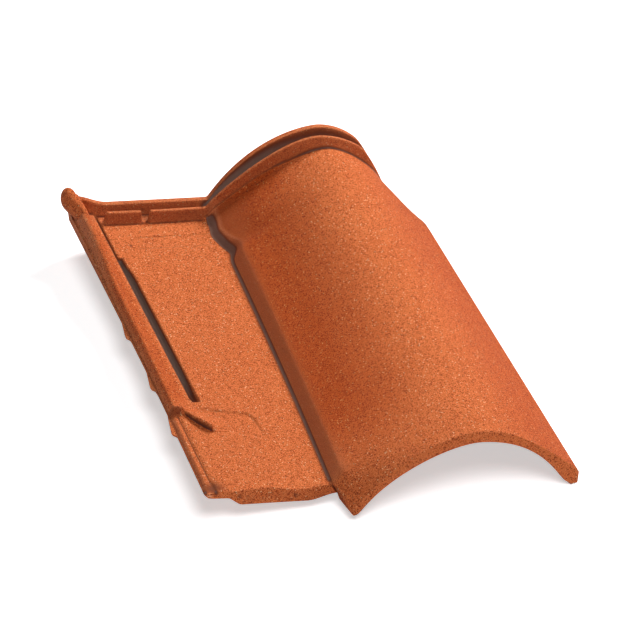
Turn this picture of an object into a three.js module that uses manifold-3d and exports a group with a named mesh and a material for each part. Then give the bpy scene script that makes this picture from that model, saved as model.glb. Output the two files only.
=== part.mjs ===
// Interlocking clay roof tile with a flat pan on the left and a tapered barrel on the right.
// It is pressed and fired in one piece: lock, pan, barrel, head ribs and nibs are one solid.
// Millimetres, +Z up. The tile is drawn with its pan level, x across, y from the nose of the
// barrel up to the head, z from the pan's floor, and is then laid on its nibs and right foot.
import * as THREE from 'three';
import { ConvexGeometry } from 'three/addons/geometries/ConvexGeometry.js';
import { mergeVertices } from 'three/addons/utils/BufferGeometryUtils.js';
import Module from 'manifold-3d';

const wasm = await Module();
wasm.setup();

// ---- Driving dimensions -------------------------------------------------------------------

// Lengths along the tile, from the nose of the barrel
const tileLength = 422.5; // nose to the back of the rear head rib
const noseLead = 24.5; // the barrel runs this far past the pan's front edge
const toeLength = 32; // over this length the left flank draws in to the toe at the nose
const shoulderY = 343; // the skirt along the left flank ends here
const neckY = 374; // from here to the head the next tile covers the barrel
const cornerStartY = 352; // from here the head's right corner is cut back
const cornerEndY = 404;

// Pan
const panThickness = 10.2;
const lipDepth = 3.3; // the front lip hangs this far below the pan's underside
const lipLength = 16;
const lipStartX = 10.5; // the front lip begins here
const lipFullX = 19; // and hangs at its full depth from here
const stampDepth = 0.6; // bare field for a press mark
const stampLength = 17.5;
const stampFromRib = 19;
const stampStartX = 36.5;

// Barrel
const crownX = 187;
const crownHeightNose = 52.7;
const crownHeightHead = 57.8;
const footXFront = 85; // foot of the left flank at the pan's front edge
const footXShoulder = 100.6;
const footXNeck = 98.6;
const footBow = 5; // the line of the foot bows out between the two
const skirtWidth = 7; // steep skirt between the pan and the flank
const skirtHeight = 12;
const rightEdgeNose = 265.2; // outer face of the right foot
const rightTaper = 7.5; // how far the right foot draws in up to the cut corner
const cornerCut = 17.6; // how far the corner is cut back at the head
const rightFootBottom = 3.3; // at the nose
const rightFootWidth = 8.8;
const rightFootFlat = 5.6; // level part of its bottom, next to the outer face
const rightFootRise = 3.1; // bevel from there up to its inner edge
const rightFootFace = 10.2; // height of the right foot's outer face
const footShoulder = 3.4; // sloping edge above that face
const crownWall = 9.8;
const toeDepth = 12.7; // lowest point of the toe below the pan's floor
const toeCrownReach = 31.6; // how far the toe's outer curve runs level from the crown
const toeHollowReach = 39.3; // place of the handle that arches the toe's inner curve
const toeHollowRise = 24.7;
const hollowBlend = 60; // length over which the toe's hollow becomes the barrel's

// Side lock along the left edge
const slotLeft = 12.8; // edge of the raised strip
const slotWideRight = 21.1;
const slotNarrowRight = 15.8;
const slotDepth = 7;
const slotStartY = 146;
const slotWideEndY = 355;
const stripHeight = 2.8; // strip above the pan's floor, at the slot
const stripCrown = 5.6; // strip at its outer edge
const ridgeHeight = 17; // lock ridge in the rear part
const ridgeFullY = 372; // the ridge is at its full height from here to the head
const ridgeFadeY = 285; // and has died into the strip here
const postRadius = 6.4; // rounded end of the ridge at the head
const postProud = 4.2; // the post stands this far behind the rear rib
const postWidth = 11.8;
const postOutset = 2.2; // from the lock's outer edge to the middle of the post
const stepY = 132; // the strip ends here in a step
const stepRun = 3; // the step's face slopes over this length
const ledgeHeight = -1.8; // ledge in front of the step
const lockEdgeHead = -4.8; // outer edge of the lock, straight from lockStraightY to the head
const lockEdgeFront = -9.8; // it splays out to this at the pan's front edge
const lockStraightY = 300;
const lockFootX = -3.2; // outer edge of the lock's underside
const lockUnderside = -7.4; // underside of the front left corner

// Head ribs
const ribHeight = 9.7; // above the pan
const ribFillet = 3; // where a rib turns up from the pan to the flank
const frontSweep = { startX: footXNeck - 0.9, riseAngle: 56.7, riseLength: 10, crownShift: -5.5,
  crownLift: 9.2, before: 30.9, after: 2.3, fallAngle: 104.8, fallLength: 50.6 };
const rearSweep = { startX: footXNeck + 4.3, riseAngle: 60, riseLength: 60, crownShift: -3.5,
  crownLift: 10.6, before: 5, after: 7.8, fallAngle: 110, fallLength: 50.9 };
const ribFadeStart = 0.66; // the ribs die away between these parts of the barrel's right half
const ribFadeEnd = 0.9;
const ribSunk = 0.4; // below the barrel's surface from there on
const ribThickness = 4.2;
const rearRibThickness = 6.2;
const ribGroove = 8.7; // clear groove between the two ribs
const ribBevel = 0.9;
const drainCentre = 50.6; // drainage gap in the front rib
const drainHalfBase = 2.8;
const drainHalfTop = 3.4;

// Tongue and fan in front of the lock's step
const bladeHeight = 4.2; // upright face of the tongue
const bladeStartX = 3;
const bladeEndX = 21.4;
const bladeEndY = 103.2;
const tongueReachX = 36; // the tongue has run out in the pan here
const fanDepth = 0.8; // shallow fall in the pan beside the tongue
const fanLeftX = 8;
const fanRightX = 56.2;
const fanEndY = 95; // the fan is level with the pan again here

// Lugs on the outer face of the lock
const lugLength = 25;
const lugProud = 3.2;
const lugHeight = 9;
const lugFronts = [108, 171, 244];

// Underside
const nibDepth = 9.6; // below the pan's underside
const nibLength = 12;
const nibWidth = 22;
const nibFromHead = 26; // bearing face to the head end
const nibLefts = [20, 62];
const nibDraft = 2;
const barFromFront = 20; // weather bar behind the front lip
const barLength = 9;

// Facets
const flankSteps = 18;

const rearRibY = tileLength - rearRibThickness;
const frontRibY = rearRibY - ribGroove - ribThickness;
const undersideZ = -panThickness;
const restZ = undersideZ - nibDepth; // plane of the nibs' and the weather bar's bottoms
const supportRightX = nibLefts[1] + nibWidth;
const restSlope = (rightFootBottom - restZ) / (rightEdgeNose - supportRightX);
const barY = noseLead + barFromFront;

const lerp = THREE.MathUtils.lerp;

function ramp(value, low, high) {
  return THREE.MathUtils.smoothstep(value, low, high);
}

function mixPoint(a, b, t) {
  return [lerp(a[0], b[0], t), lerp(a[1], b[1], t)];
}

// ---- Solids -------------------------------------------------------------------------------

// A closed solid from a geometry whose shared corners are merged.
function solidFrom(geometry) {
  const bare = geometry.clone();
  bare.deleteAttribute('normal');
  bare.deleteAttribute('uv');
  const merged = mergeVertices(bare, 1e-4);
  const vertProperties = new Float32Array(merged.attributes.position.array);
  const triVerts = new Uint32Array(merged.index.array);
  return new wasm.Manifold(new wasm.Mesh({ numProp: 3, vertProperties, triVerts }));
}

function geometryFrom(solid) {
  const mesh = solid.getMesh();
  const geometry = new THREE.BufferGeometry();
  geometry.setAttribute('position', new THREE.BufferAttribute(new Float32Array(mesh.vertProperties), 3));
  geometry.setIndex(new THREE.BufferAttribute(new Uint32Array(mesh.triVerts), 1));
  return geometry;
}

// Loft through rings of [x, z] points, each ring at its own y. The rings run clockwise as seen
// from the front, so that the faces point out.
function loft(rings) {
  const count = rings[0].points.length;
  const positions = [];
  for (const ring of rings) {
    for (const [x, z] of ring.points) {
      positions.push(x, ring.y, z);
    }
  }
  const index = [];
  for (let r = 0; r < rings.length - 1; r += 1) {
    for (let i = 0; i < count; i += 1) {
      const j = (i + 1) % count;
      const a = r * count + i;
      const b = r * count + j;
      const c = (r + 1) * count + j;
      const d = (r + 1) * count + i;
      index.push(a, c, d, a, b, c);
    }
  }
  capRing(rings[0], 0, false, index);
  capRing(rings[rings.length - 1], (rings.length - 1) * count, true, index);
  const geometry = new THREE.BufferGeometry();
  geometry.setAttribute('position', new THREE.Float32BufferAttribute(positions, 3));
  geometry.setIndex(index);
  return geometry;
}

function capRing(ring, offset, atHead, index) {
  const contour = ring.points.map(([x, z]) => new THREE.Vector2(x, z));
  for (const [a, b, c] of THREE.ShapeUtils.triangulateShape(contour, [])) {
    const area = cross2(contour[a], contour[b], contour[c]);
    const flip = area > 0 === atHead;
    index.push(offset + a, offset + (flip ? c : b), offset + (flip ? b : c));
  }
}

function cross2(a, b, c) {
  return (b.x - a.x) * (c.y - a.y) - (b.y - a.y) * (c.x - a.x);
}

// A straight prism along y, from a list of [x, z] points.
function prism(points, y0, y1) {
  return loft([{ y: y0, points }, { y: y1, points }]);
}

function boxBetween(x0, x1, y0, y1, z0, z1) {
  const box = new THREE.BoxGeometry(x1 - x0, y1 - y0, z1 - z0);
  box.translate((x0 + x1) / 2, (y0 + y1) / 2, (z0 + z1) / 2);
  return box;
}

function curvePoints(start, startHandle, endHandle, end, steps) {
  const vectors = [start, startHandle, endHandle, end].map(([x, z]) => new THREE.Vector2(x, z));
  const curve = new THREE.CubicBezierCurve(...vectors);
  return curve.getPoints(steps).map((point) => [point.x, point.y]);
}

function polar(origin, degrees, length) {
  const angle = THREE.MathUtils.degToRad(degrees);
  return [origin[0] + length * Math.cos(angle), origin[1] + length * Math.sin(angle)];
}

// ---- Barrel -------------------------------------------------------------------------------

function crownHeight(y) {
  return lerp(crownHeightNose, crownHeightHead, Math.min(y / neckY, 1));
}

function rightEdge(y) {
  const taper = (rightTaper * Math.min(y, cornerEndY)) / cornerEndY;
  return rightEdgeNose - taper - cornerCut * ramp(y, cornerStartY, cornerEndY);
}

// Foot of the left flank on the pan's floor: a bowed line up to the shoulder, then the neck's.
function footX(y) {
  const t = THREE.MathUtils.clamp((y - noseLead) / (shoulderY - noseLead), 0, 1);
  const body = lerp(footXFront, footXShoulder, t) + footBow * t * (1 - t);
  return lerp(body, footXNeck, ramp(y, shoulderY + 4, neckY));
}

// The right foot stays on the plane that the tile rests on.
function footBottom(y) {
  return restZ + (rightEdge(y) - supportRightX) * restSlope;
}

// At its front edge the pan's underside rises to meet the flank.
function cornerRise(y) {
  return y < noseLead ? 0 : 2.6 * (1 - ramp(y, noseLead, noseLead + 12));
}

// Named points of the barrel's left half. The toe, the full barrel and the neck differ only in
// these points, and the sections between them are blends.
function toeSection() {
  const skirtTop = [footXFront + 18.5, 0.8];
  return {
    foot: [footXFront + 11.5, -toeDepth + 2.2],
    crease: [footXFront + 13.6, -5.4],
    skirtTop,
    leftHandle: polar(skirtTop, 56, 29.6),
    crownHandle: [crownX - toeCrownReach, crownHeightNose],
    tip: [footXFront + 12.8, -toeDepth],
    innerHandle: [footXFront + toeHollowReach, toeHollowRise],
  };
}

// In front of the pan the body's foot hangs free and is cut under; beside the pan it is buried.
function bodySection(y) {
  const foot = footX(y);
  const skirtTop = [foot + skirtWidth, skirtHeight];
  return {
    foot: y > noseLead ? [foot - 2.4, -4] : [foot + 5.6, -7],
    crease: [foot + 0.4, 0.8],
    skirtTop,
    leftHandle: polar(skirtTop, 30, 40),
    crownHandle: [crownX - 30, crownHeight(y)],
    tip: [foot + 6, undersideZ + cornerRise(y)],
    innerHandle: [foot + 24, 14],
  };
}

function neckSection(y) {
  const foot = footX(y);
  const skirtTop = [foot + 5, 6.5];
  return {
    foot: [foot - 2, -1.2],
    crease: [foot + 0.6, 0.5],
    skirtTop,
    leftHandle: polar(skirtTop, 38, 30),
    crownHandle: [crownX - 23, crownHeight(y)],
    tip: [foot + 8, undersideZ],
    innerHandle: [foot + 27, 12],
  };
}

function mixSections(a, b, t) {
  const mixed = {};
  for (const name of Object.keys(a)) {
    mixed[name] = mixPoint(a[name], b[name], t);
  }
  return mixed;
}

function sectionAt(y) {
  if (y < toeLength) {
    const t = 1 - (1 - y / toeLength) ** 1.6;
    return mixSections(toeSection(), bodySection(y), t);
  }
  return mixSections(bodySection(y), neckSection(y), ramp(y, shoulderY, neckY));
}

// Outer line of the barrel's right half, from the crown to the right edge. Towards the cut
// corner it turns down more steeply.
function barrelRight(y) {
  const cut = ramp(y, cornerStartY, cornerEndY);
  const crown = [crownX, crownHeight(y)];
  const end = [rightEdge(y) - lerp(3, 1, cut), footBottom(y) + rightFootFace + footShoulder];
  const endHandle = polar(end, lerp(144, 97.6, cut), lerp(26, 21.6, cut));
  return curvePoints(crown, [crownX + lerp(28, 16, cut), crown[1]], endHandle, end, flankSteps);
}

// Outer line of the barrel from its left foot over the crown to the right edge.
function barrelOuter(y) {
  const s = sectionAt(y);
  const left = curvePoints(s.skirtTop, s.leftHandle, s.crownHandle, [crownX, crownHeight(y)], flankSteps);
  const face = [rightEdge(y), footBottom(y) + rightFootFace];
  return [s.foot, s.crease, ...left, ...barrelRight(y).slice(1), face];
}

// Inner line of the barrel, from the right foot back to the left tip. The arch is fuller on the
// left behind the toe, and narrows on the right with the foot's taper.
function barrelInner(y) {
  const s = sectionAt(y);
  const cut = ramp(y, cornerStartY, cornerEndY);
  const edge = rightEdge(y);
  const low = footBottom(y);
  const flat = [edge - rightFootFlat, low - rightFootFlat * restSlope];
  const corner = [edge - rightFootWidth, low - rightFootWidth * restSlope + rightFootRise];
  const crown = [crownX, crownHeight(y) - crownWall];
  const rightHandle = [corner[0] - lerp(5.9, 2, cut), corner[1] + lerp(1.4, 18, cut)];
  const rightReach = lerp(lerp(48.4, 38, Math.min(y / shoulderY, 1)), 24, cut);
  const leftReach = lerp(19.5, 34, ramp(y, toeLength, toeLength + hollowBlend));
  const right = curvePoints(corner, rightHandle, [crownX + rightReach, crown[1]], crown, flankSteps);
  const left = curvePoints(crown, [crownX - leftReach, crown[1]], s.innerHandle, s.tip, flankSteps);
  return [[edge, low], flat, ...right, ...left.slice(1)];
}

function stationsBetween(y0, y1, step) {
  const count = Math.max(1, Math.round((y1 - y0) / step));
  const stations = [];
  for (let i = 0; i < count; i += 1) {
    stations.push(lerp(y0, y1, i / count));
  }
  return stations;
}

function barrelSolid() {
  const stations = [
    ...stationsBetween(0, noseLead, 5),
    noseLead,
    ...stationsBetween(noseLead + 0.8, toeLength, 4),
    ...stationsBetween(toeLength, cornerStartY, 24),
    ...stationsBetween(cornerStartY, cornerEndY, 4),
    ...stationsBetween(cornerEndY, tileLength, 12),
    tileLength,
  ];
  const rings = stations.map((y) => ({ y, points: [...barrelOuter(y), ...barrelInner(y)] }));
  return solidFrom(loft(rings));
}

// ---- Pan and side lock --------------------------------------------------------------------

function lipDrop(y) {
  return lipDepth * (1 - ramp(y, noseLead + lipLength, noseLead + lipLength + 6));
}

// Outer face of the lock, which splays out towards the front.
function lockEdge(y) {
  const t = THREE.MathUtils.clamp((lockStraightY - y) / (lockStraightY - noseLead), 0, 1);
  return lerp(lockEdgeHead, lockEdgeFront, t ** 1.5);
}

// Ledge that the lock shrinks to in front of the step.
function ledgePoints(y) {
  const edge = lockEdge(y);
  const line = lerp(-1.1, 0.2, (y - noseLead) / (stepY - noseLead));
  return [
    [edge, -4.4],
    [edge + 1.6, ledgeHeight - 0.9],
    [edge + 3.4, ledgeHeight],
    [line - 0.8, ledgeHeight],
    [line, ledgeHeight + 0.3],
    [line + 0.8, -0.15],
    [line + 2.5, 0],
    [slotWideRight, -0.15],
  ];
}

// Chamfered strip that grows into the full round ridge towards the head.
function lockPoints(y) {
  const edge = lockEdge(y);
  const ridge = ramp(y, ridgeFadeY, ridgeFullY);
  const top = lerp(stripCrown, ridgeHeight, ridge);
  return [
    [edge - 1.2 * ridge, lerp(-3.4, 2.8, ridge)],
    [edge + lerp(1.3, -0.1, ridge), lerp(0, top - 6, ridge)],
    [edge + lerp(2.7, 0.6, ridge), top - lerp(2.1, 1.4, ridge)],
    [edge + lerp(4.3, 2.6, ridge), top],
    [edge + lerp(6.2, 5.4, ridge), top - lerp(0.1, 0.5, ridge)],
    [lerp(3.4, 2.8, ridge), lerp(5, top - 5, ridge)],
    [lerp(7.5, 3.8, ridge), stripHeight + lerp(1, 0.3, ridge)],
    [slotLeft, stripHeight],
  ];
}

function panRing(y, raised) {
  const foot = footX(y);
  const tip = sectionAt(y).tip;
  const under = undersideZ - lipDrop(y);
  const left = raised ? lockPoints(y) : ledgePoints(y);
  const floorLeft = raised ? [slotLeft + 1.6, 0] : [slotWideRight + 4, -0.2];
  const splay = 0.45 * (lockEdge(y) - lockEdgeHead);
  return [
    ...left,
    floorLeft,
    [foot + 3, 0],
    [tip[0] - 0.5, tip[1] + 0.02],
    [foot - 12, under + 0.4 * cornerRise(y)],
    [foot - 24, under - 0.1],
    [lipFullX, under],
    [lipStartX, raised ? undersideZ - 2.2 : lockUnderside],
    [lockFootX + splay, raised ? undersideZ + 4 : lockUnderside + 0.6],
  ];
}

function panSolid() {
  const front = [
    ...stationsBetween(noseLead, noseLead + lipLength + 6, 5.5),
    ...stationsBetween(noseLead + lipLength + 6, stepY - stepRun, 24),
    stepY - stepRun,
  ];
  const rear = [
    ...stationsBetween(stepY, ridgeFadeY, 24),
    ...stationsBetween(ridgeFadeY, ridgeFullY, 12),
    ...stationsBetween(ridgeFullY, tileLength, 10),
    tileLength,
  ];
  const rings = [
    ...front.map((y) => ({ y, points: panRing(y, false) })),
    ...rear.map((y) => ({ y, points: panRing(y, true) })),
  ];
  return solidFrom(loft(rings));
}

// The slot beside the strip, wide along the pan and narrow on past the front rib.
function slotCutter() {
  const high = stripHeight + 3;
  const wide = boxBetween(slotLeft, slotWideRight, slotStartY, slotWideEndY, -slotDepth, high);
  const narrow = boxBetween(slotLeft, slotNarrowRight, slotStartY, rearRibY - 1.7, -slotDepth, high);
  return solidFrom(wide).add(solidFrom(narrow));
}

// Shallow fan that falls from a slanting line across the pan and levels out towards the front.
function fanCutter() {
  const outline = [
    [fanLeftX, stepY + 7, -fanDepth],
    [slotLeft + 5, stepY + 4.5, -fanDepth],
    [fanRightX - 1.6, stepY - 7.6, -fanDepth],
    [fanRightX, stepY - 16, -fanDepth * 0.6],
    [fanRightX, fanEndY, 0.05],
    [fanLeftX, fanEndY, 0.05],
  ];
  const points = outline.flatMap(([x, y, z]) => [
    new THREE.Vector3(x, y, z),
    new THREE.Vector3(x, y, 1.5),
  ]);
  return solidFrom(new ConvexGeometry(points));
}

// Low tongue that leads the water from the lock's step out over the pan: an upright blade on its
// left, from which the top falls to nothing on its right.
function tongueSolid() {
  const blade = curvePoints([bladeStartX, stepY], [bladeStartX + 3.2, stepY - 9.6],
    [bladeStartX + 6.6, stepY - 14.4], [bladeEndX, bladeEndY], 8);
  const far = curvePoints([slotLeft - 0.8, stepY + 9], [slotLeft + 13, stepY - 2],
    [tongueReachX - 2, stepY - 10], [tongueReachX, bladeEndY + 1], 8);
  const last = blade.length - 1;
  const points = [
    ...blade.map(([x, y], i) => new THREE.Vector3(x, y, i < last ? bladeHeight : 0)),
    ...far.map(([x, y]) => new THREE.Vector3(x, y, -fanDepth)),
    ...[...blade, ...far].map(([x, y]) => new THREE.Vector3(x, y, -panThickness / 2)),
  ];
  return solidFrom(new ConvexGeometry(points));
}

// Lug on the outer face of the lock: flush at its rear, blunt at its front.
function lugSolid(front) {
  const face = lockEdge(front);
  const inside = face + 4;
  const low = -lugHeight * 0.75;
  const high = lugHeight * 0.25;
  const outer = face - lugProud;
  const tail = lockEdge(front + lugLength);
  const points = [
    [inside, front, low], [inside, front, high],
    [outer + 1, front, low + 1.5], [outer + 1.6, front, high - 1],
    [outer, front + 2, low + 1.5], [outer + 0.8, front + 2, high - 1],
    [tail, front + lugLength, low + 2], [tail, front + lugLength, high - 1.5],
    [inside, front + lugLength, low], [inside, front + lugLength, high],
  ];
  return solidFrom(new ConvexGeometry(points.map((point) => new THREE.Vector3(...point))));
}

// ---- Head ribs ----------------------------------------------------------------------------

// Top of a rib from its left end to the right corner: level over the pan, swept up the flank to
// its own crown, and down to where it dies into the barrel. It is lowered by sink for the bevels.
function ribTop(left, sweep, sink) {
  const start = polar([sweep.startX, ribHeight - sink], sweep.riseAngle, ribFillet);
  const crown = [crownX + sweep.crownShift, crownHeightHead + sweep.crownLift - sink];
  const barrel = barrelRight(tileLength);
  const edge = barrel[flankSteps];
  const end = [edge[0] + 0.6, edge[1] + 3.8 - sink];
  const rise = curvePoints(start, polar(start, sweep.riseAngle, sweep.riseLength),
    [crown[0] - sweep.before, crown[1]], crown, flankSteps);
  const fall = curvePoints(crown, [crown[0] + sweep.after, crown[1]],
    polar(end, sweep.fallAngle, sweep.fallLength), end, flankSteps);
  const fading = fall.map((point, i) => {
    const sunk = [barrel[i][0], barrel[i][1] - ribSunk];
    return mixPoint(point, sunk, ramp(i / flankSteps, ribFadeStart, ribFadeEnd));
  });
  const fillet = [sweep.startX - ribFillet, ribHeight - sink];
  return [...left.map(([x, z]) => [x, z - sink]), fillet, ...rise, ...fading.slice(1)];
}

// A rib is lofted through four sections, the outer two lowered to bevel its edges.
function ribSolid(y0, y1, left, sweep) {
  const line = barrelOuter(tileLength).slice(2, -1).reverse();
  const bottom = line.slice(0, -2).map(([x, z]) => [x - 2, z - 4]);
  const leftFoot = [left[0][0], -4];
  const sections = [[y0, ribBevel], [y0 + ribBevel, 0], [y1 - ribBevel, 0], [y1, ribBevel]];
  return solidFrom(loft(sections.map(([y, sink]) => ({
    y,
    points: [leftFoot, ...ribTop(left, sweep, sink), ...bottom, [footX(tileLength) + 7, -3.9]],
  }))));
}

function frontRib() {
  const leftX = slotNarrowRight + 2.8;
  const rib = ribSolid(frontRibY, frontRibY + ribThickness, [[leftX, ribHeight - 1], [leftX + 1, ribHeight]],
    frontSweep);
  const gap = prism([
    [drainCentre - drainHalfBase, 0],
    [drainCentre - drainHalfTop, ribHeight + 2],
    [drainCentre + drainHalfTop, ribHeight + 2],
    [drainCentre + drainHalfBase, 0],
  ], frontRibY - 2, frontRibY + ribThickness + 2);
  return rib.subtract(solidFrom(gap));
}

// The rear rib runs out to the left into the ridge of the lock.
function rearRib() {
  const left = [[-4, ridgeHeight], [0, ridgeHeight - 0.6], [8, ribHeight + 4], [21, ribHeight + 0.5]];
  return ribSolid(rearRibY, tileLength, left, rearSweep);
}

// Rounded end of the lock's ridge, standing a little behind the rear rib.
function postSolid() {
  const ball = new THREE.SphereGeometry(1, 20, 12);
  ball.scale(postWidth / 2, postRadius + postProud, postRadius + 0.6);
  ball.translate(lockEdgeHead - postOutset, tileLength - postRadius, ridgeHeight - 0.5);
  return solidFrom(ball);
}

// ---- Underside ----------------------------------------------------------------------------

// Block under the pan with drafted ends and an upright face towards the nose.
function underBlock(x0, x1, y0, y1) {
  const points = [
    [x0 - nibDraft, y0, undersideZ + 1], [x1 + nibDraft, y0, undersideZ + 1],
    [x0 - nibDraft, y1 + nibDraft, undersideZ + 1], [x1 + nibDraft, y1 + nibDraft, undersideZ + 1],
    [x0, y0, restZ], [x1, y0, restZ], [x0, y1, restZ], [x1, y1, restZ],
  ];
  return solidFrom(new ConvexGeometry(points.map((point) => new THREE.Vector3(...point))));
}

function undersideSolids() {
  const nibY = tileLength - nibFromHead;
  const bar = underBlock(nibLefts[0], supportRightX, barY, barY + barLength);
  return nibLefts.reduce(
    (joined, left) => joined.add(underBlock(left, left + nibWidth, nibY, nibY + nibLength)),
    bar,
  );
}

// ---- Tile ---------------------------------------------------------------------------------

function stampCutter() {
  const right = footXNeck - 3;
  const rear = frontRibY - stampFromRib;
  return solidFrom(boxBetween(stampStartX, right, rear - stampLength, rear, -stampDepth, 1));
}

function tileSolid() {
  let tile = panSolid().subtract(slotCutter()).subtract(stampCutter()).subtract(fanCutter());
  tile = tile.add(barrelSolid()).add(tongueSolid());
  tile = tile.add(frontRib()).add(rearRib()).add(postSolid());
  for (const front of lugFronts) {
    tile = tile.add(lugSolid(front));
  }
  return tile.add(undersideSolids());
}

// Laid on the floor: rolled until the right foot is level with the nibs, and centred.
const geometry = geometryFrom(tileSolid());
geometry.rotateY(Math.atan(restSlope));
geometry.computeBoundingBox();
const bounds = geometry.boundingBox;
geometry.translate(
  -(bounds.min.x + bounds.max.x) / 2,
  -(bounds.min.y + bounds.max.y) / 2,
  -bounds.min.z,
);

const material = new THREE.MeshStandardMaterial({ color: 0xb5562c, roughness: 0.85, metalness: 0 });
const mesh = new THREE.Mesh(geometry, material);
mesh.name = 'roof_tile';
const group = new THREE.Group();
group.add(mesh);
export default group;
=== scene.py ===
"""Interlocking clay roof tile: a flat pan with a side lock, and a tapered barrel that ends in a
thin foot. One pressed and fired body with drawn head ribs, hanging nibs and a grainy fired skin.

The tile is worked out in its own axes, in millimetres: x across, y from the nose of the barrel
to the head, z from the floor of the pan. It is then rolled onto its nibs and foot and placed in
the frame's axes, in metres.
"""

import math

import bpy
import numpy as np
from bpy.props import FloatProperty, FloatVectorProperty, PointerProperty
from mathutils import Euler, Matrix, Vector


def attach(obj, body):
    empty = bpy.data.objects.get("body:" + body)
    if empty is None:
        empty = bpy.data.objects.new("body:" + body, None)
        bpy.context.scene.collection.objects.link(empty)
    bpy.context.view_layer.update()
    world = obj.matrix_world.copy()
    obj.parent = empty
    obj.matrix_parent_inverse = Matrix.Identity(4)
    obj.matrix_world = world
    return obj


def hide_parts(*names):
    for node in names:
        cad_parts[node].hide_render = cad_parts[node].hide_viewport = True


bl_info = {
    "name": "Clay Roof Tile",
    "version": (1, 0, 0),
    "blender": (4, 5, 0),
    "location": "View3D > Sidebar > Roof Tile",
    "description": "Builds an interlocking clay roof tile with its fired surface and a studio",
    "category": "Add Mesh",
}

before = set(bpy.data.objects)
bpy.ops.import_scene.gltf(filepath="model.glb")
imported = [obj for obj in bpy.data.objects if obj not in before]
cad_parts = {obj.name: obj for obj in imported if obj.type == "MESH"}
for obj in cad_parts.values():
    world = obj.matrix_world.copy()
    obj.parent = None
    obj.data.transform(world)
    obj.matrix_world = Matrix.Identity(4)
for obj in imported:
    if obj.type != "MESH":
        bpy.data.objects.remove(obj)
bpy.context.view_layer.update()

# ---- Sizes in millimetres ---------------------------------------------------------------------

TILE_LENGTH = 422.5
NOSE_LEAD = 24.5
TOE_LENGTH = 32.0
SHOULDER_Y = 343.0
NECK_Y = 374.0
CORNER_START_Y = 352.0
CORNER_END_Y = 404.0
PAN_THICKNESS = 10.2
LIP_DEPTH = 3.3
LIP_LENGTH = 16.0
LIP_START_X = 10.5
LIP_FULL_X = 19.0
CROWN_X = 187.0
CROWN_NOSE = 52.7
CROWN_HEAD = 57.8
CROWN_WALL = 9.8
FOOT_FRONT = 85.0
FOOT_SHOULDER = 100.6
FOOT_NECK = 98.6
FOOT_BOW = 5.0
FOOT_BULGES = ((2.8, 352.0, 8.0), (-2.2, 379.0, 10.0))  # out, y and half length: shoulder, neck
SKIRT_WIDTH = 7.0
SKIRT_HEIGHT = 12.0
RIGHT_EDGE = 265.2
RIGHT_TAPER = 7.5
CORNER_CUT = 17.6
SIDE_HANDLE = (144.0, 26.0)  # angle and length of the curve above the right foot
CORNER_HANDLE = (97.6, 21.6)  # the same above the cut corner
RIGHT_FOOT_BOTTOM = 3.3
RIGHT_FOOT_WIDTH = 8.8
RIGHT_FOOT_FLAT = 5.6
RIGHT_FOOT_RISE = 3.1
RIGHT_FOOT_FACE = 10.2
RIGHT_FOOT_SHOULDER = 3.4
TOE_DEPTH = 12.7
TOE_BLUNT = 2.6
BLUNT_AT = 0.05  # where the toe is bluntest, as a share of the hollow's left half
HOLLOW_BLEND = 60.0
UNDERSIDE_RISE = 2.6
SLOT_LEFT = 12.8
SLOT_WIDE = 21.1
SLOT_NARROW = 15.8
SLOT_DRAW_IN = 2.2
SLOT_DEPTH = 7.0
SLOT_START_Y = 146.0
SLOT_WIDE_END_Y = 355.0
SLOT_END_Y = 414.6
STRIP_HEIGHT = 2.8
STRIP_CROWN = 5.6
RIDGE_HEIGHT = 17.0
RIDGE_FULL_Y = 372.0
RIDGE_FADE_Y = 285.0
POST_RADIUS = 6.4
POST_PROUD = 4.2
POST_WIDTH = 11.8
POST_OUTSET = 2.2
POST_ROUNDING = 9.0
POST_DRAWN_OUT = ((9.0, 1.5), (-16.0, 1.0), (-4.0, 2.0))  # reach and power along x, y and z
# Brown tint on the post, partly painted shade.
POST_BROWN_AND_SHADE = 0.35
STEP_Y = 132.0
STEP_RUN = 3.0
LEDGE = -1.8
LOCK_EDGE = (-9.8, -4.8)  # outer edge at the front, and from LOCK_STRAIGHT_Y to the head
LOCK_STRAIGHT_Y = 300.0
LOCK_UNDERSIDE = -7.4
LOCK_FOOT_X = -3.2
RIB_HEIGHT = 9.7
RIB_FRONT = (403.4, 407.6)
RIB_REAR_Y = 416.3
RIB_FILLET = 3.0
RIB_FADE = (0.66, 0.9)  # where the ribs die away, along the barrel's right half
FRONT_SWEEP = {
    "start": FOOT_NECK - 0.9,
    "rise": (56.7, 10.0),
    "crown": (CROWN_X - 5.5, CROWN_HEAD + 9.2),
    "lengths": (30.9, 2.3),
    "fall": (104.8, 50.6),
}
REAR_SWEEP = {
    "start": FOOT_NECK + 4.3,
    "rise": (60.0, 60.0),
    "crown": (CROWN_X - 3.5, CROWN_HEAD + 10.55),
    "lengths": (5.0, 7.8),
    "fall": (110.0, 50.9),
}
DRAIN_CENTRE = 50.6
DRAIN_HALF = 3.0
STAMP_X = (36.5, 95.5)
STAMP_Y = (366.9, 384.4)
STAMP_DEPTH = 0.6
PAN_DISH = 0.35
DISH_X = (20.0, 90.0)
FRONT_WAVES = (  # x, half width, how far it runs out in y and how far it sags
    (37.0, 8.0, 0.8, 0.0),
    (15.0, 9.0, -0.7, 0.9),
    (61.0, 13.0, -1.5, 1.7),
)
FAN_FALL = 1.1
FAN_LEFT_X = 18.0
FAN_Y = 137.8  # place of the fan's edge at FAN_LEFT_X
FAN_SLOPE = 0.33
FAN_BEND_X = 50.0
FAN_BEND = 0.022
FAN_POWER = 3.55
FAN_BEND_SLOPE = 0.078  # FAN_BEND times FAN_POWER
FOLD_MIDDLE = (71.0, 57.0)
FOLD_TURN = (0.315, 0.949)  # cosine and sine of its angle to x
FOLD_LENGTH = 21.0
FOLD_WIDTH = 4.2
FOLD_DEPTH = 0.5
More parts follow.
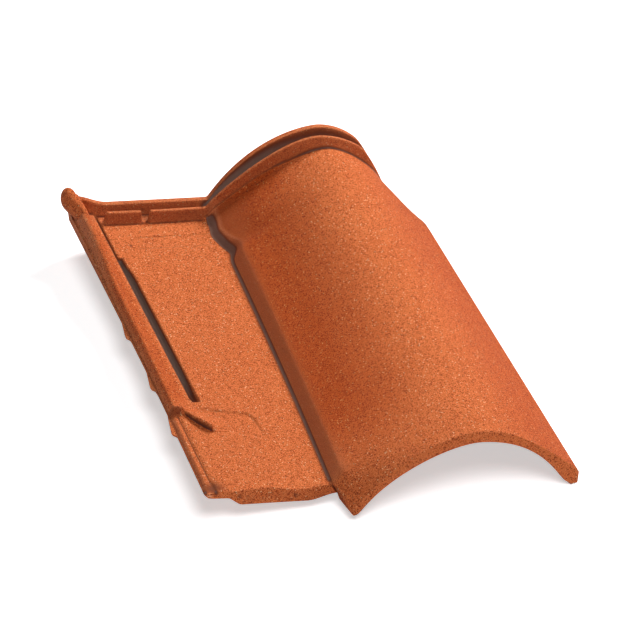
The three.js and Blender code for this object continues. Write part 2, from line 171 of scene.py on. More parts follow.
DARK_SPOTS = (  # x, y, z, radius
    (30.5, 371.0, 0.0, 1.1),
    (26.0, 388.0, 0.0, 0.9),
    (66.0, 389.0, 0.0, 0.8),
    (94.5, 25.1, 0.0, 1.6),
    (-8.0, 27.0, -3.0, 2.0),
    (-0.5, 25.5, -2.0, 1.8),
    (17.2, 23.5, -5.5, 1.4),
    (23.9, 23.5, -7.0, 1.2),
    (39.2, 23.5, -6.0, 1.3),
    (59.4, 23.5, -7.5, 1.5),
    (240.8, 21.8, 20.0, 1.5),
    (254.7, 13.5, 8.0, 1.0),
)
PALE_CHIPS = (
    (-5.5, 24.2, -4.5, 1.6),
    (-9.5, 33.6, -3.0, 1.4),
    (254.7, 16.4, 8.5, 1.9),
    (17.6, 53.8, 0.0, 0.9),
    (26.3, 170.4, 0.0, 0.9),
)
LUG_LENGTH = 25.0
LUG_PROUD = 3.3
LUG_ON_WALL = (0.12, 0.7)  # as shares of the way down the lock's outer face
LUG_FRONTS = (108.0, 171.0, 244.0)
NIB_DEPTH = 9.6
NIB_LENGTH = 12.0
NIB_WIDTH = 22.0
NIB_Y = TILE_LENGTH - 26.0
NIB_LEFTS = (20.0, 62.0)
BAR_Y = NOSE_LEAD + 20.0
BAR_LENGTH = 9.0
BLADE_HEIGHT = 4.2
BLADE_LINE = ((3.8, 132.4), (8.2, 123.2), (13.2, 114.4), (19.4, 104.6))  # Bezier points in x, y
TONGUE_LINE = ((12.0, 141.0), (26.0, 130.0), (34.0, 122.0), (36.0, 104.0))
TONGUE_ROOT = 3.0
BLOCK_ROUNDING = 1.4  # of the nibs and the weather bar
BLOCK_ROOT = 3.0

# ---- Clay, with colours in linear red, green and blue -------------------------------------------

# The third mark holds painted shade in recesses and dark stains, the fifth a browning that is
# partly painted shade, and the last pale chips and painted light.
ATTRIBUTES = ("worn", "crevice", "shade_and_stain", "pressed", "browned_and_shaded", "chips_and_painted_light")
BEND_TO_MASK = 2.2  # how fast an edge reads as worn, and a crease as a crevice that gets painted shade
SHADE_AND_STAIN_LEVELS = {  # how dark each place is painted, from 0 to 1: painted shade, and dark wear on the corner
    "slot": 1.0,
    "crease": 0.74,
    "neck": 0.16,
    "rib_face": 0.2,
    "rib_foot": 0.7,
    "flank_between_ribs": 1.0,
    "pan_between_ribs": 0.3,
    "corner": 0.5,
    "fan": 0.22,
    "ledge": 0.36,
    "step": 0.36,
    "stamp": 0.4,
}
PIT_COLOUR = (0.23, 0.020, 0.003, 1.0)
SPECK_COLOUR = (1.0, 0.62, 0.3, 1.0)
# Pale chips; also the painted light on the lock's outer side.
CHIP_AND_LIGHT_COLOUR = (1.0, 0.5, 0.28, 1.0)
PRESSED_COLOUR = (0.62, 0.21, 0.095, 1.0)
# Brown tint of the sides, partly the clay's colour and partly painted shade.
BROWN_AND_SHADE_TINT = (0.76, 0.54, 0.35, 1.0)
# Brown that painted shade and stains take on first, before the grey-brown colour.
THIN_SHADE_AND_STAIN_COLOUR = (0.20, 0.052, 0.022, 1.0)
WIDE_CLOUDS = 16.0  # per metre
CLOSE_CLOUDS = 150.0
PIT_SHARE = 0.26
SPECK_SHARE = 0.04
CLOUD_CONTRAST = 1.1
GRAIN_CONTRAST = 4.6
PATCH_STRENGTH = 0.07
RUBBED_STRENGTH = 0.42

# ---- Lamps, floor and camera, in metres and degrees ---------------------------------------------

WHITE = (1.0, 1.0, 1.0, 1.0)
LAMP_DISTANCE = 3.0
LAMP_SIZE = 1.3
LAMP_TARGET = (0.0, 0.0, 0.03)
KEY_LAMP = (30.0, 44.0, 1.50)  # azimuth, elevation and strength
FILL_LAMP = (266.0, 54.0, 0.61)
WORLD_STRENGTH = 0.02
FLOOR_HALF = 6.0
FLOOR_GAP = 0.0002
FLOOR_GLOW = 0.55
CAMERA_LENS = 506.25  # millimetres, as the sensor
CAMERA_SENSOR = 36.0
CAMERA_TARGET = (0.0093, 0.01455, 0.02681)
CAMERA_ANGLES = (254.212, 32.257)  # azimuth and elevation, seen from the target
CAMERA_DISTANCE = 6.6521
CAMERA_ROLL = -0.905

# ---- Rest on the floor --------------------------------------------------------------------------

UNDERSIDE = -PAN_THICKNESS
REST_Z = UNDERSIDE - NIB_DEPTH
SUPPORT_X = NIB_LEFTS[1] + NIB_WIDTH
REST_SLOPE = (RIGHT_FOOT_BOTTOM - REST_Z) / (RIGHT_EDGE - SUPPORT_X)
REST_ROLL = math.atan(REST_SLOPE)
ROW_ORIGIN = (-126.646, -213.35, 30.264)  # the tile's own origin, in the frame's axes


# ---- Numbers ----------------------------------------------------------------------------------


def share(value, low, high):
    """Straight step from 0 at low to 1 at high."""
    return np.clip((value - low) / (high - low), 0.0, 1.0)


def ramp(value, low, high):
    """Smooth step from 0 at low to 1 at high: 3t^2 - 2t^3."""
    t = share(value, low, high)
    return t * t * (3.0 - 2.0 * t)


def fade(value, low, high):
    """Smooth step from 1 at low to 0 at high."""
    return 1.0 - ramp(value, low, high)


def hill(value, middle, width):
    """Bell of height 1: exp(-((value - middle) / width)^2)."""
    return np.exp(-(((value - middle) / width) ** 2))


def mix(a, b, t):
    """Straight blend a + (b - a)t."""
    return a + (b - a) * t


def plateau(value, low, high, soft):
    """1 between low and high and 0 outside, with a smooth step that reaches soft to both sides
    of each end."""
    return ramp(value, low - soft, low + soft) * fade(value, high - soft, high + soft)


def polar(point, degrees, length):
    """The point at that angle and distance from a given (x, z) point."""
    angle = np.radians(degrees)
    return (point[0] + length * np.cos(angle), point[1] + length * np.sin(angle))


def blend_points(a, b, t):
    """Straight blend of two (x, z) points."""
    return (mix(a[0], b[0], t), mix(a[1], b[1], t))


def bezier(points, t):
    """Bezier curve over flat points, which may change from row to row; t runs along it."""
    last = len(points) - 1
    weights = [math.comb(last, k) * t**k * (1 - t) ** (last - k) for k in range(last + 1)]
    return tuple(sum(w * p[axis] for w, p in zip(weights, points)) for axis in (0, 1))


def spline_weights(count, columns):
    """Weights of a clamped quadratic B-spline with that many control points, for each column."""
    knots = np.concatenate(([0, 0], np.linspace(0, 1, count - 1), [1, 1]))
    t = np.clip(np.linspace(0, 1, columns), 0, 1 - 1e-9)[:, None]
    low, high = knots[:-1], knots[1:]
    weights = ((t >= low) & (t < high)).astype(float)
    for degree in (1, 2):
        spans = len(knots) - degree - 1
        left = np.zeros((columns, spans))
        for i in range(spans):
            a = knots[i + degree] - knots[i]
            b = knots[i + degree + 1] - knots[i + 1]
            if a > 0:
                left[:, i] += (t[:, 0] - knots[i]) / a * weights[:, i]
            if b > 0:
                left[:, i] += (knots[i + degree + 1] - t[:, 0]) / b * weights[:, i + 1]
        weights = left
    return weights


# ---- Section of the tile ----------------------------------------------------------------------
# Every function of y takes a column of rows (n, 1) and returns values for each row: a height, a
# place across, or (x, z) points.


def crown_height(y):
    """Height of the barrel's crown, rising evenly to the neck."""
    return mix(CROWN_NOSE, CROWN_HEAD, np.minimum(y / NECK_Y, 1.0))


def corner_part(y):
    """How far the right corner is cut away, from 0 to 1."""
    return ramp(y, CORNER_START_Y, CORNER_END_Y)


def right_edge(y):
    """Outer face of the right foot: a straight taper, then the cut corner."""
    taper = RIGHT_TAPER * np.minimum(y, CORNER_END_Y) / CORNER_END_Y
    return RIGHT_EDGE - taper - CORNER_CUT * corner_part(y)


def foot_bottom(y):
    """Underside of the right foot, on the plane that the tile rests on."""
    return REST_Z + (right_edge(y) - SUPPORT_X) * REST_SLOPE


def foot_x(y):
    """Foot of the left flank on the pan: a bowed line up to the shoulder, which bulges a little,
    then the neck's."""
    t = share(y, NOSE_LEAD, SHOULDER_Y)
    body = mix(FOOT_FRONT, FOOT_SHOULDER, t) + FOOT_BOW * t * (1.0 - t)
    bulge = sum(height * hill(y, middle, width) for height, middle, width in FOOT_BULGES)
    return mix(body, FOOT_NECK, ramp(y, SHOULDER_Y + 4.0, NECK_Y)) + bulge


def corner_rise(y):
    """Rise of the underside beside the toe, towards the pan's front edge."""
    begins = ramp(y, NOSE_LEAD - 3.5, NOSE_LEAD + 1.2)
    return UNDERSIDE_RISE * begins * fade(y, NOSE_LEAD, NOSE_LEAD + 12.0)


def toe_share(y):
    """How much of the section is the toe's: 1 at the nose and 0 from TOE_LENGTH on."""
    return np.clip(1.0 - y / TOE_LENGTH, 0.0, 1.0) ** 1.6


def left_section(y):
    """Named points of the barrel's left half: the toe, the full barrel and the neck, blended."""
    foot = foot_x(y)
    crown = crown_height(y)
    even = 0.0 * y
    toe_top = (FOOT_FRONT + 18.5, 0.8)
    toe = {
        "foot": (FOOT_FRONT + 9.8, -TOE_DEPTH + 2.2),
        "crease": (FOOT_FRONT + 13.6, -5.4),
        "skirt_top": toe_top,
        "left_handle": polar(toe_top, 56.0, 29.6),
        "crown_handle": (CROWN_X - 31.6, CROWN_NOSE),
        "tip": (FOOT_FRONT + 12.6, -TOE_DEPTH - 0.8),
        "inner_handle": (FOOT_FRONT + 39.3, 24.7),
    }
    body_top = (foot + SKIRT_WIDTH, SKIRT_HEIGHT + even)
    body = {
        "foot": (foot + 5.6, -7.0),
        "crease": (foot + 0.4, 0.8 + even),
        "skirt_top": body_top,
        "left_handle": polar(body_top, 30.0, 40.0),
        "crown_handle": (CROWN_X - 30.0, crown),
        "tip": (foot + 6.0, UNDERSIDE + corner_rise(y)),
        "inner_handle": (foot + 24.0, 14.0),
    }
    neck_top = (foot + 5.0, 6.5 + even)
    neck = {
        "foot": (foot + 5.6, -7.0),
        "crease": (foot + 0.6, 0.5 + even),
        "skirt_top": neck_top,
        "left_handle": polar(neck_top, 38.0, 30.0),
        "crown_handle": (CROWN_X - 23.0, crown),
        "tip": (foot + 8.0, UNDERSIDE),
        "inner_handle": (foot + 27.0, 12.0),
    }
    toe_part = toe_share(y)
    neck_part = ramp(y, SHOULDER_Y, NECK_Y)
    return {
        name: blend_points(blend_points(body[name], toe[name], toe_part), neck[name], neck_part)
        for name in body
    }


def right_end(y):
    """Where the barrel's outer line meets the sloping edge of the right foot."""
    height = foot_bottom(y) + RIGHT_FOOT_FACE + RIGHT_FOOT_SHOULDER
    return (right_edge(y) - mix(3.0, 1.0, corner_part(y)), height)


def right_curve(y, t):
    """Outer line from the crown to the top of the right foot's edge."""
    cut = corner_part(y)
    crown = (CROWN_X, crown_height(y))
    level = (CROWN_X + mix(28.0, 16.0, cut), crown[1])
    end = right_end(y)
    angle, length = blend_points(SIDE_HANDLE, CORNER_HANDLE, cut)
    return bezier((crown, level, polar(end, angle, length), end), t)


def inner_corner(y):
    """Inner edge of the right foot, above the flat of its bottom."""
    flat = foot_bottom(y) - RIGHT_FOOT_WIDTH * REST_SLOPE
    return (right_edge(y) - RIGHT_FOOT_WIDTH, flat + RIGHT_FOOT_RISE)


def inner_right_curve(y, t):
    """Inner line from the crown down to the inner edge of the right foot."""
    cut = corner_part(y)
    crown = (CROWN_X, crown_height(y) - CROWN_WALL)
    reach = mix(48.4, 38.0, np.minimum(y / SHOULDER_Y, 1.0))
    level = (CROWN_X + mix(reach, 24.0, cut), crown[1])
    corner = inner_corner(y)
    handle = (corner[0] - mix(5.9, 2.0, cut), corner[1] + mix(1.4, 18.0, cut))
    return bezier((crown, level, handle, corner), t)


# ---- The grid ---------------------------------------------------------------------------------

EDGE = 1.2  # walls stand this far outside the grids, and round the edges over
LOCK_COLUMNS = 24
SLOT_COLUMNS = 10
FILLET_COLUMNS = 8
SKIRT_COLUMNS = 7
FLANK_COLUMNS = 44
RIGHT_COLUMNS = 42
FOOT_COLUMNS = 5
PAN_ZONES = (  # from, to and number of columns, as shares of the pan's width
    (0.02, 0.05, 4),
    (0.08, 0.33, 11),
    (0.35, 0.54, 22),
    (0.57, 0.97, 18),
)
PAN_STEPS = np.concatenate([np.linspace(*zone) for zone in PAN_ZONES])
WALL_STEPS = np.array([0.03, 0.08, 0.16, 0.28, 0.42, 0.58, 0.72, 0.84, 0.92, 0.97])
FLAT_COLUMNS = LOCK_COLUMNS + SLOT_COLUMNS + len(PAN_STEPS)
RISE_COLUMNS = FILLET_COLUMNS + SKIRT_COLUMNS + FLANK_COLUMNS
FLANK_SPREAD = 1.1  # above 1 draws the flank's columns towards its foot
PAN_FRONT_Y = NOSE_LEAD + EDGE  # first row of the pan
FRONT_GAP = 0.05  # from there to the last row of the toe alone
BEFORE = 0.01  # less than FRONT_GAP, to tell those two rows apart
CLOSEST_ROWS = 0.18
BLOCK_STEPS = 12


def row_positions():
    """Rows along y, close together at every edge that crosses the tile, as one sorted column."""
    before_front = PAN_FRONT_Y - FRONT_GAP
    zones = [
        (EDGE, NOSE_LEAD + 0.9, 2.0),
        (PAN_FRONT_Y, 40.0, 1.5),
        (40.0, 104.0, 5.0),
        (104.0, 150.0, 1.1),
        (150.0, SHOULDER_Y, 5.0),
        (SHOULDER_Y, 400.0, 2.6),
        (400.0, TILE_LENGTH - EDGE, 0.8),
    ]
    rows = [np.arange(low, high, step) for low, high, step in zones]
    edges = [STEP_Y + 0.8, SLOT_START_Y, SLOT_WIDE_END_Y, SLOT_END_Y, *LUG_FRONTS, *STAMP_Y]
    rows += [edge + np.linspace(-1.2, 1.2, 5) for edge in edges]
    rows += [edge + np.linspace(-1.1, 1.1, 9) for edge in (*RIB_FRONT, RIB_REAR_Y)]
    rows.append(np.array([before_front, PAN_FRONT_Y, TILE_LENGTH - EDGE]))
    merged = np.unique(np.round(np.concatenate(rows), 3))
    merged = merged[(merged >= EDGE) & (merged <= TILE_LENGTH - EDGE)]
    keep = np.concatenate(([True], np.diff(merged) > CLOSEST_ROWS))
    front = np.isclose(merged, PAN_FRONT_Y) | np.isclose(merged, before_front)
    return merged[keep | front][:, None]


def slot_right(y):
    """Right wall of the slot: wide along the pan, where it draws in a little at its rear end,
    and narrow next to the head ribs."""
    drawn_in = SLOT_DRAW_IN * ramp(y, SLOT_WIDE_END_Y - 32.0, SLOT_WIDE_END_Y - 2.0)
    narrow = ramp(y, SLOT_WIDE_END_Y - 0.6, SLOT_WIDE_END_Y + 0.6)
    return mix(SLOT_WIDE - drawn_in, SLOT_NARROW, narrow)


def lock_edge(y):
    """Outer face of the lock, which splays out towards the front."""
    return mix(LOCK_EDGE[1], LOCK_EDGE[0], share(y, LOCK_STRAIGHT_Y, NOSE_LEAD) ** 1.5)


def lock_columns(y):
    """Side lock: a quadratic B-spline over control points that blend from the ledge at the
    front, over the step, to the chamfered strip and then to the full round ridge."""
    ridge = ramp(y, RIDGE_FADE_Y, RIDGE_FULL_Y)
    top = mix(STRIP_CROWN, RIDGE_HEIGHT, ridge)
    edge = lock_edge(y)
    raised = [
        (edge + EDGE - 1.2 * ridge, mix(-2.2, 4.0, ridge)),
        (edge + mix(1.6, 0.2, ridge), mix(0.6, top - 6.0, ridge)),
        (edge + mix(2.9, 0.4, ridge), top - mix(2.2, 1.2, ridge)),
        (edge + mix(4.3, 3.1, ridge), top + mix(0.3, 1.0, ridge)),
        (edge + mix(6.6, 6.4, ridge), top + mix(0.2, 0.2, ridge)),
        (mix(3.2, 2.9, ridge), mix(4.9, top - 6.5, ridge)),
        (mix(7.5, 3.4, ridge), STRIP_HEIGHT + mix(1.0, 0.2, ridge)),
        (SLOT_LEFT - 0.8, STRIP_HEIGHT + 0.15),
        (SLOT_LEFT + 0.0 * y, STRIP_HEIGHT - 0.2),
    ]
    line = mix(-1.1, 0.2, share(y, NOSE_LEAD, STEP_Y))
    ledge = [
        (edge + EDGE, LEDGE - 1.4),
        (edge + 2.0, LEDGE - 0.3),
        (edge + 3.4, LEDGE),
        (line - 1.2, LEDGE),
        (line - 0.4, LEDGE + 0.1),
        (line + 0.2, LEDGE + 0.6),
        (line + 1.4, -0.3),
        (line + 3.2, 0.0),
        (SLOT_LEFT + 0.0 * y, 0.0),
    ]
    raised_part = ramp(y, STEP_Y - STEP_RUN, STEP_Y + 0.4)
    points = [blend_points(a, b, raised_part) for a, b in zip(ledge, raised)]
    weights = spline_weights(len(points), LOCK_COLUMNS)
    x = sum(p[0] * w for p, w in zip(points, weights.T[:, None, :]))
    z = sum(p[1] * w for p, w in zip(points, weights.T[:, None, :]))
    return x, z


def slot_columns(y):
    """Slot: two drafted walls and a floor, present where depth is 1, else a short slope."""
    right = slot_right(y)
    wall = np.array([0.25, 0.5, 0.8, 1.3, 2.2, -2.2, -1.2, -0.7, -0.35, 0.25])
    from_left = wall[None, :] > 0
    from_left[:, -1] = False
    x = np.where(from_left, SLOT_LEFT + wall, right + wall)
    x = np.maximum.accumulate(x, axis=1)
    round_start = 2.8 * np.clip(1.0 - (x - SLOT_LEFT) / 3.6, 0.0, 1.0) ** 2
    depth = plateau(y - round_start, SLOT_START_Y, SLOT_END_Y, 0.5)
    strip = STRIP_HEIGHT * ramp(y, STEP_Y, STEP_Y + 1.8)
    plain = strip * (1.0 - np.clip((x - SLOT_LEFT) / 2.4, 0.0, 1.0))
    floor = np.array([0.35, 0.8, 0.97, 1.0, 1.0, 1.0, 1.0, 0.95, 0.6, 0.02])
    return x, mix(plain, -SLOT_DEPTH, floor[None, :] * depth)


def pan_columns(y, start, end):
    """Floor of the pan between the slot and the crease, with a slight dish across it."""
    x = mix(start, end, PAN_STEPS[None, :])
    dish = -PAN_DISH * np.sin(np.pi * share(x, *DISH_X))
    stamp = plateau(x, *STAMP_X, 0.5) * plateau(y, *STAMP_Y, 0.5)
    return x, dish - STAMP_DEPTH * stamp


def crease_columns(y, section):
    """Crease and skirt: a fillet in the corner, the steep skirt, and its rounded upper edge.
    In front of the pan the same columns follow the flank down to the toe's lower edge."""
    foot = (foot_x(y), 0.0 * y)
    top = section["skirt_top"]
    radius = mix(0.9, 1.3, ramp(y, SHOULDER_Y - 2.0, NECK_Y))
    length = np.hypot(top[0] - foot[0], top[1] - foot[1])
    up = ((top[0] - foot[0]) / length, (top[1] - foot[1]) / length)
    start = (foot[0] - radius, foot[1])
    stop = (foot[0] + up[0] * radius, foot[1] + up[1] * radius)
    front = (y < PAN_FRONT_Y - BEFORE).astype(float)
    low = section["foot"]
    stop = blend_points(stop, section["crease"], fade(y, PAN_FRONT_Y, PAN_FRONT_Y + 9.0))
    corner = blend_points(foot, blend_points(low, stop, 0.5), front)
    start = blend_points(start, low, front)
    fillet = bezier((start, corner, stop), np.linspace(0.0, 1.0, FILLET_COLUMNS)[None, :])
    s = np.concatenate(([0.07, 0.14, 0.21], np.linspace(0.4, 0.94, SKIRT_COLUMNS - 3)))[None, :]
    skirt = blend_points(stop, top, s)
    return np.hstack((fillet[0], skirt[0])), np.hstack((fillet[1], skirt[1]))


def top_columns(y):
    """Top surface from the lock to the right foot, before the head ribs are raised on it."""
    section = left_section(y)
    slot = slot_columns(y)
    crease = crease_columns(y, section)
    pan = pan_columns(y, slot[0][:, -1:], crease[0][:, :1])
    flank_points = [section[name] for name in ("skirt_top", "left_handle", "crown_handle")]
    flank_points.append((CROWN_X, crown_height(y)))
    flank = bezier(flank_points, np.linspace(0.015, 1.0, FLANK_COLUMNS)[None, :] ** FLANK_SPREAD)
    right = right_curve(y, np.linspace(0.0, 1.0, RIGHT_COLUMNS + 1)[None, 1:])
    end = right_end(y)
    low = (right_edge(y) - EDGE, end[1] - RIGHT_FOOT_SHOULDER)
    f = np.linspace(0.0, 1.0, FOOT_COLUMNS + 1)[None, 1:]
    foot = (mix(end[0], low[0], f**0.8), mix(end[1], low[1], f**1.2))
    parts = (lock_columns(y), slot, pan, crease, flank, right, foot)
    return np.hstack([p[0] for p in parts]), np.hstack([p[1] for p in parts])


def rib_sweep(sweep):
    """Top line of a head rib from the pan on: a small fillet, the rise up the flank to the rib's
    own crown, and the fall to the right edge."""
    angle, length = sweep["rise"]
    foot = (sweep["start"], RIB_HEIGHT)
    start = polar(foot, angle, RIB_FILLET)
    crown = sweep["crown"]
    before, after = sweep["lengths"]
    end = right_end(np.array([[TILE_LENGTH]]))
    end = (end[0] + 0.6, end[1] + 3.8)
    f = np.linspace(0.0, 1.0, FILLET_COLUMNS)[None, :-1]
    fillet = bezier(((foot[0] - RIB_FILLET, foot[1]), foot, foot, start), f)
    t = np.linspace(0.0, 1.0, SKIRT_COLUMNS + FLANK_COLUMNS + 1)[None, :] ** FLANK_SPREAD
    rise = bezier((start, polar(start, angle, length), (crown[0] - before, crown[1]), crown), t)
    s = np.linspace(0.0, 1.0, RIGHT_COLUMNS + FOOT_COLUMNS + 1)[None, 1:]
    fall = bezier((crown, (crown[0] + after, crown[1]), polar(end, *sweep["fall"]), end), s)
    return np.hstack((fillet[0], rise[0], fall[0])), np.hstack((fillet[1], rise[1], fall[1]))


def raise_ribs(x, y, z):
    """Front and rear head ribs: plateaus in y that lift the pan and draw the barrel's section
    out to the rib's top line. The front rib starts at the slot, has a drainage gap and rises
    from the flank in a soft hollow."""
    front = ramp(y, RIB_FRONT[0] - 0.9, RIB_FRONT[0] + 1.3)
    front = front * fade(y, RIB_FRONT[1] - 0.7, RIB_FRONT[1] + 0.7)
    rear = ramp(y, RIB_REAR_Y - 0.75, RIB_REAR_Y + 0.75)
    pan_x, pan_z = x[:, :FLAT_COLUMNS], z[:, :FLAT_COLUMNS]
    gap = plateau(pan_x, DRAIN_CENTRE - DRAIN_HALF, DRAIN_CENTRE + DRAIN_HALF, 0.7)
    begins = ramp(pan_x, SLOT_NARROW + 2.2, SLOT_NARROW + 4.4)
    rear_line = RIB_HEIGHT + 6.4 * fade(pan_x, -2.0, 24.0)
    lift = front * (begins * (1.0 - gap)) * RIB_HEIGHT
    raised = np.maximum(pan_z + lift, mix(pan_z, rear_line, rear))
    z[:, :FLAT_COLUMNS] = np.where(pan_x > -3.0, raised, pan_z)
    across = np.arange(x.shape[1] - FLAT_COLUMNS) - RISE_COLUMNS
    dies = fade(across / RIGHT_COLUMNS, *RIB_FADE)
    soft = 0.35 * ramp(y, RIB_FRONT[0] - 5.0, RIB_FRONT[0] + 0.5) ** 1.5
    soft = soft * fade(across / FLANK_COLUMNS, -0.6, -0.1)
    for part, sweep in ((np.maximum(front, soft), FRONT_SWEEP), (rear, REAR_SWEEP)):
        line_x, line_z = rib_sweep(sweep)
        x[:, FLAT_COLUMNS:] = mix(x[:, FLAT_COLUMNS:], line_x, part * dies)
        z[:, FLAT_COLUMNS:] = mix(z[:, FLAT_COLUMNS:], line_z, part * dies)
    return x, z


def bottom_columns(y):
    """Underside with the same columns as the top: lock, pan, then the hollow of the barrel."""
    section = left_section(y)
    tip = section["tip"]
    drop = LIP_DEPTH * fade(y, NOSE_LEAD + LIP_LENGTH, NOSE_LEAD + LIP_LENGTH + 6.0)
    left = LOCK_FOOT_X + 0.45 * (lock_edge(y) - LOCK_EDGE[1]) + EDGE * 0.6
    x = mix(left, tip[0], np.linspace(0.0, 1.0, FLAT_COLUMNS + 1)[None, :-1])
    ledge = (LOCK_UNDERSIDE + 0.6, LOCK_UNDERSIDE)
    strip = (UNDERSIDE + 4.0, UNDERSIDE - 2.2)
    outer = blend_points(ledge, strip, ramp(y, STEP_Y - STEP_RUN, STEP_Y))
    under = mix(outer[0], outer[1], share(x, left, LIP_START_X))
    under = mix(under, UNDERSIDE - drop, ramp(x, LIP_START_X - 1.5, LIP_FULL_X + 1.5))
    z = mix(under, tip[1], ramp(x, tip[0] - 22.0, tip[0]))
    t = np.linspace(0.0, 1.0, RISE_COLUMNS)[None, :]
    crown = (CROWN_X, crown_height(y) - CROWN_WALL)
    reach = 19.5 + 14.5 * ramp(y, TOE_LENGTH, TOE_LENGTH + HOLLOW_BLEND)
    handle = (CROWN_X - reach, crown[1])
    hollow_x, hollow_z = bezier((tip, section["inner_handle"], handle, crown), t)
    near_tip = (t / BLUNT_AT) * np.exp(1.0 - t / BLUNT_AT)
    hollow = (hollow_x, hollow_z - TOE_BLUNT * toe_share(y) * near_tip)
    right = inner_right_curve(y, np.linspace(0.0, 1.0, RIGHT_COLUMNS + 1)[None, 1:])
    corner = inner_corner(y)
    low = (right_edge(y) - EDGE, foot_bottom(y))
    flat = (right_edge(y) - RIGHT_FOOT_FLAT, foot_bottom(y) - RIGHT_FOOT_FLAT * REST_SLOPE)
    to_flat = np.array([[0.35, 0.7, 1.0, 1.0, 1.0]])
    to_edge = np.array([[0.0, 0.0, 0.0, 0.5, 1.0]])
    foot = blend_points(blend_points(corner, flat, to_flat), low, to_edge)
    parts = ((x, z), hollow, right, foot)
    return np.hstack([p[0] for p in parts]), np.hstack([p[1] for p in parts])


def to_row(points):
    """Tile millimetres to the frame's metres: rolled about y onto the nibs, then placed."""
    cos, sin = math.cos(REST_ROLL), math.sin(REST_ROLL)
    x = points[..., 0] * cos + points[..., 2] * sin + ROW_ORIGIN[0]
    y = points[..., 1] + ROW_ORIGIN[1]
    z = -points[..., 0] * sin + points[..., 2] * cos + ROW_ORIGIN[2]
    return np.stack((x, y, z), axis=-1) / 1000.0


def perimeter(rows, columns, front_row):
    """Grid indices once round the tile's outline, counterclockwise seen from above. In front of
    front_row the grid starts at FLAT_COLUMNS, where the toe stands ahead of the pan."""
    last_row, last_column = rows - 1, columns - 1
    sides = [
        (front_row, np.arange(FLAT_COLUMNS)),
        (np.arange(front_row, 0, -1), FLAT_COLUMNS),
        (0, np.arange(FLAT_COLUMNS, last_column)),
        (np.arange(last_row), last_column),
        (last_row, np.arange(last_column, 0, -1)),
        (np.arange(last_row, front_row, -1), 0),
    ]
    return np.concatenate([np.stack(np.broadcast_arrays(*side), 1) for side in sides])


def front_wave(x):
    """The pan's front edge is uneven: how far it runs out in y and sags in z."""
    hills = [(hill(x, middle, width), out, down) for middle, width, out, down in FRONT_WAVES]
    run = sum(height * out for height, out, _ in hills)
    sag = sum(height * down for height, _, down in hills)
    return run, sag


def fan_line(x, y):
    """Distance behind the fan's edge, which runs back over the pan as a straight line and
    bends to the front at its right end, as bend^FAN_POWER."""
    bend = np.maximum(x - FAN_BEND_X, 0.0)
    edge_y = FAN_Y - FAN_SLOPE * (x - FAN_LEFT_X) + 1.5 * np.maximum(FAN_LEFT_X - x, 0.0)
    edge_y = edge_y - FAN_BEND * bend**FAN_POWER
    slope = FAN_SLOPE + FAN_BEND_SLOPE * bend ** (FAN_POWER - 1.0)
    return (y - edge_y) / np.hypot(1.0, slope)


def fan_depth(x, y):
    """Shallow fan in front of the slot: a fall of FAN_FALL over a curved line, level again in
    front of it and beside it, and a faint diagonal fold in the pan nearer to its edge."""
    across = ramp(x, 5.0, 9.0) * fade(x, 55.6, 58.4)
    fan = FAN_FALL * across * fade(fan_line(x, y), -1.0, 1.0) * ramp(y, 84.0, 118.0)
    from_x, from_y = x - FOLD_MIDDLE[0], y - FOLD_MIDDLE[1]
    along = from_x * FOLD_TURN[0] - from_y * FOLD_TURN[1]
    beside = from_x * FOLD_TURN[1] + from_y * FOLD_TURN[0]
    return fan + FOLD_DEPTH * hill(along, 0.0, FOLD_LENGTH) * hill(beside, 0.0, FOLD_WIDTH)


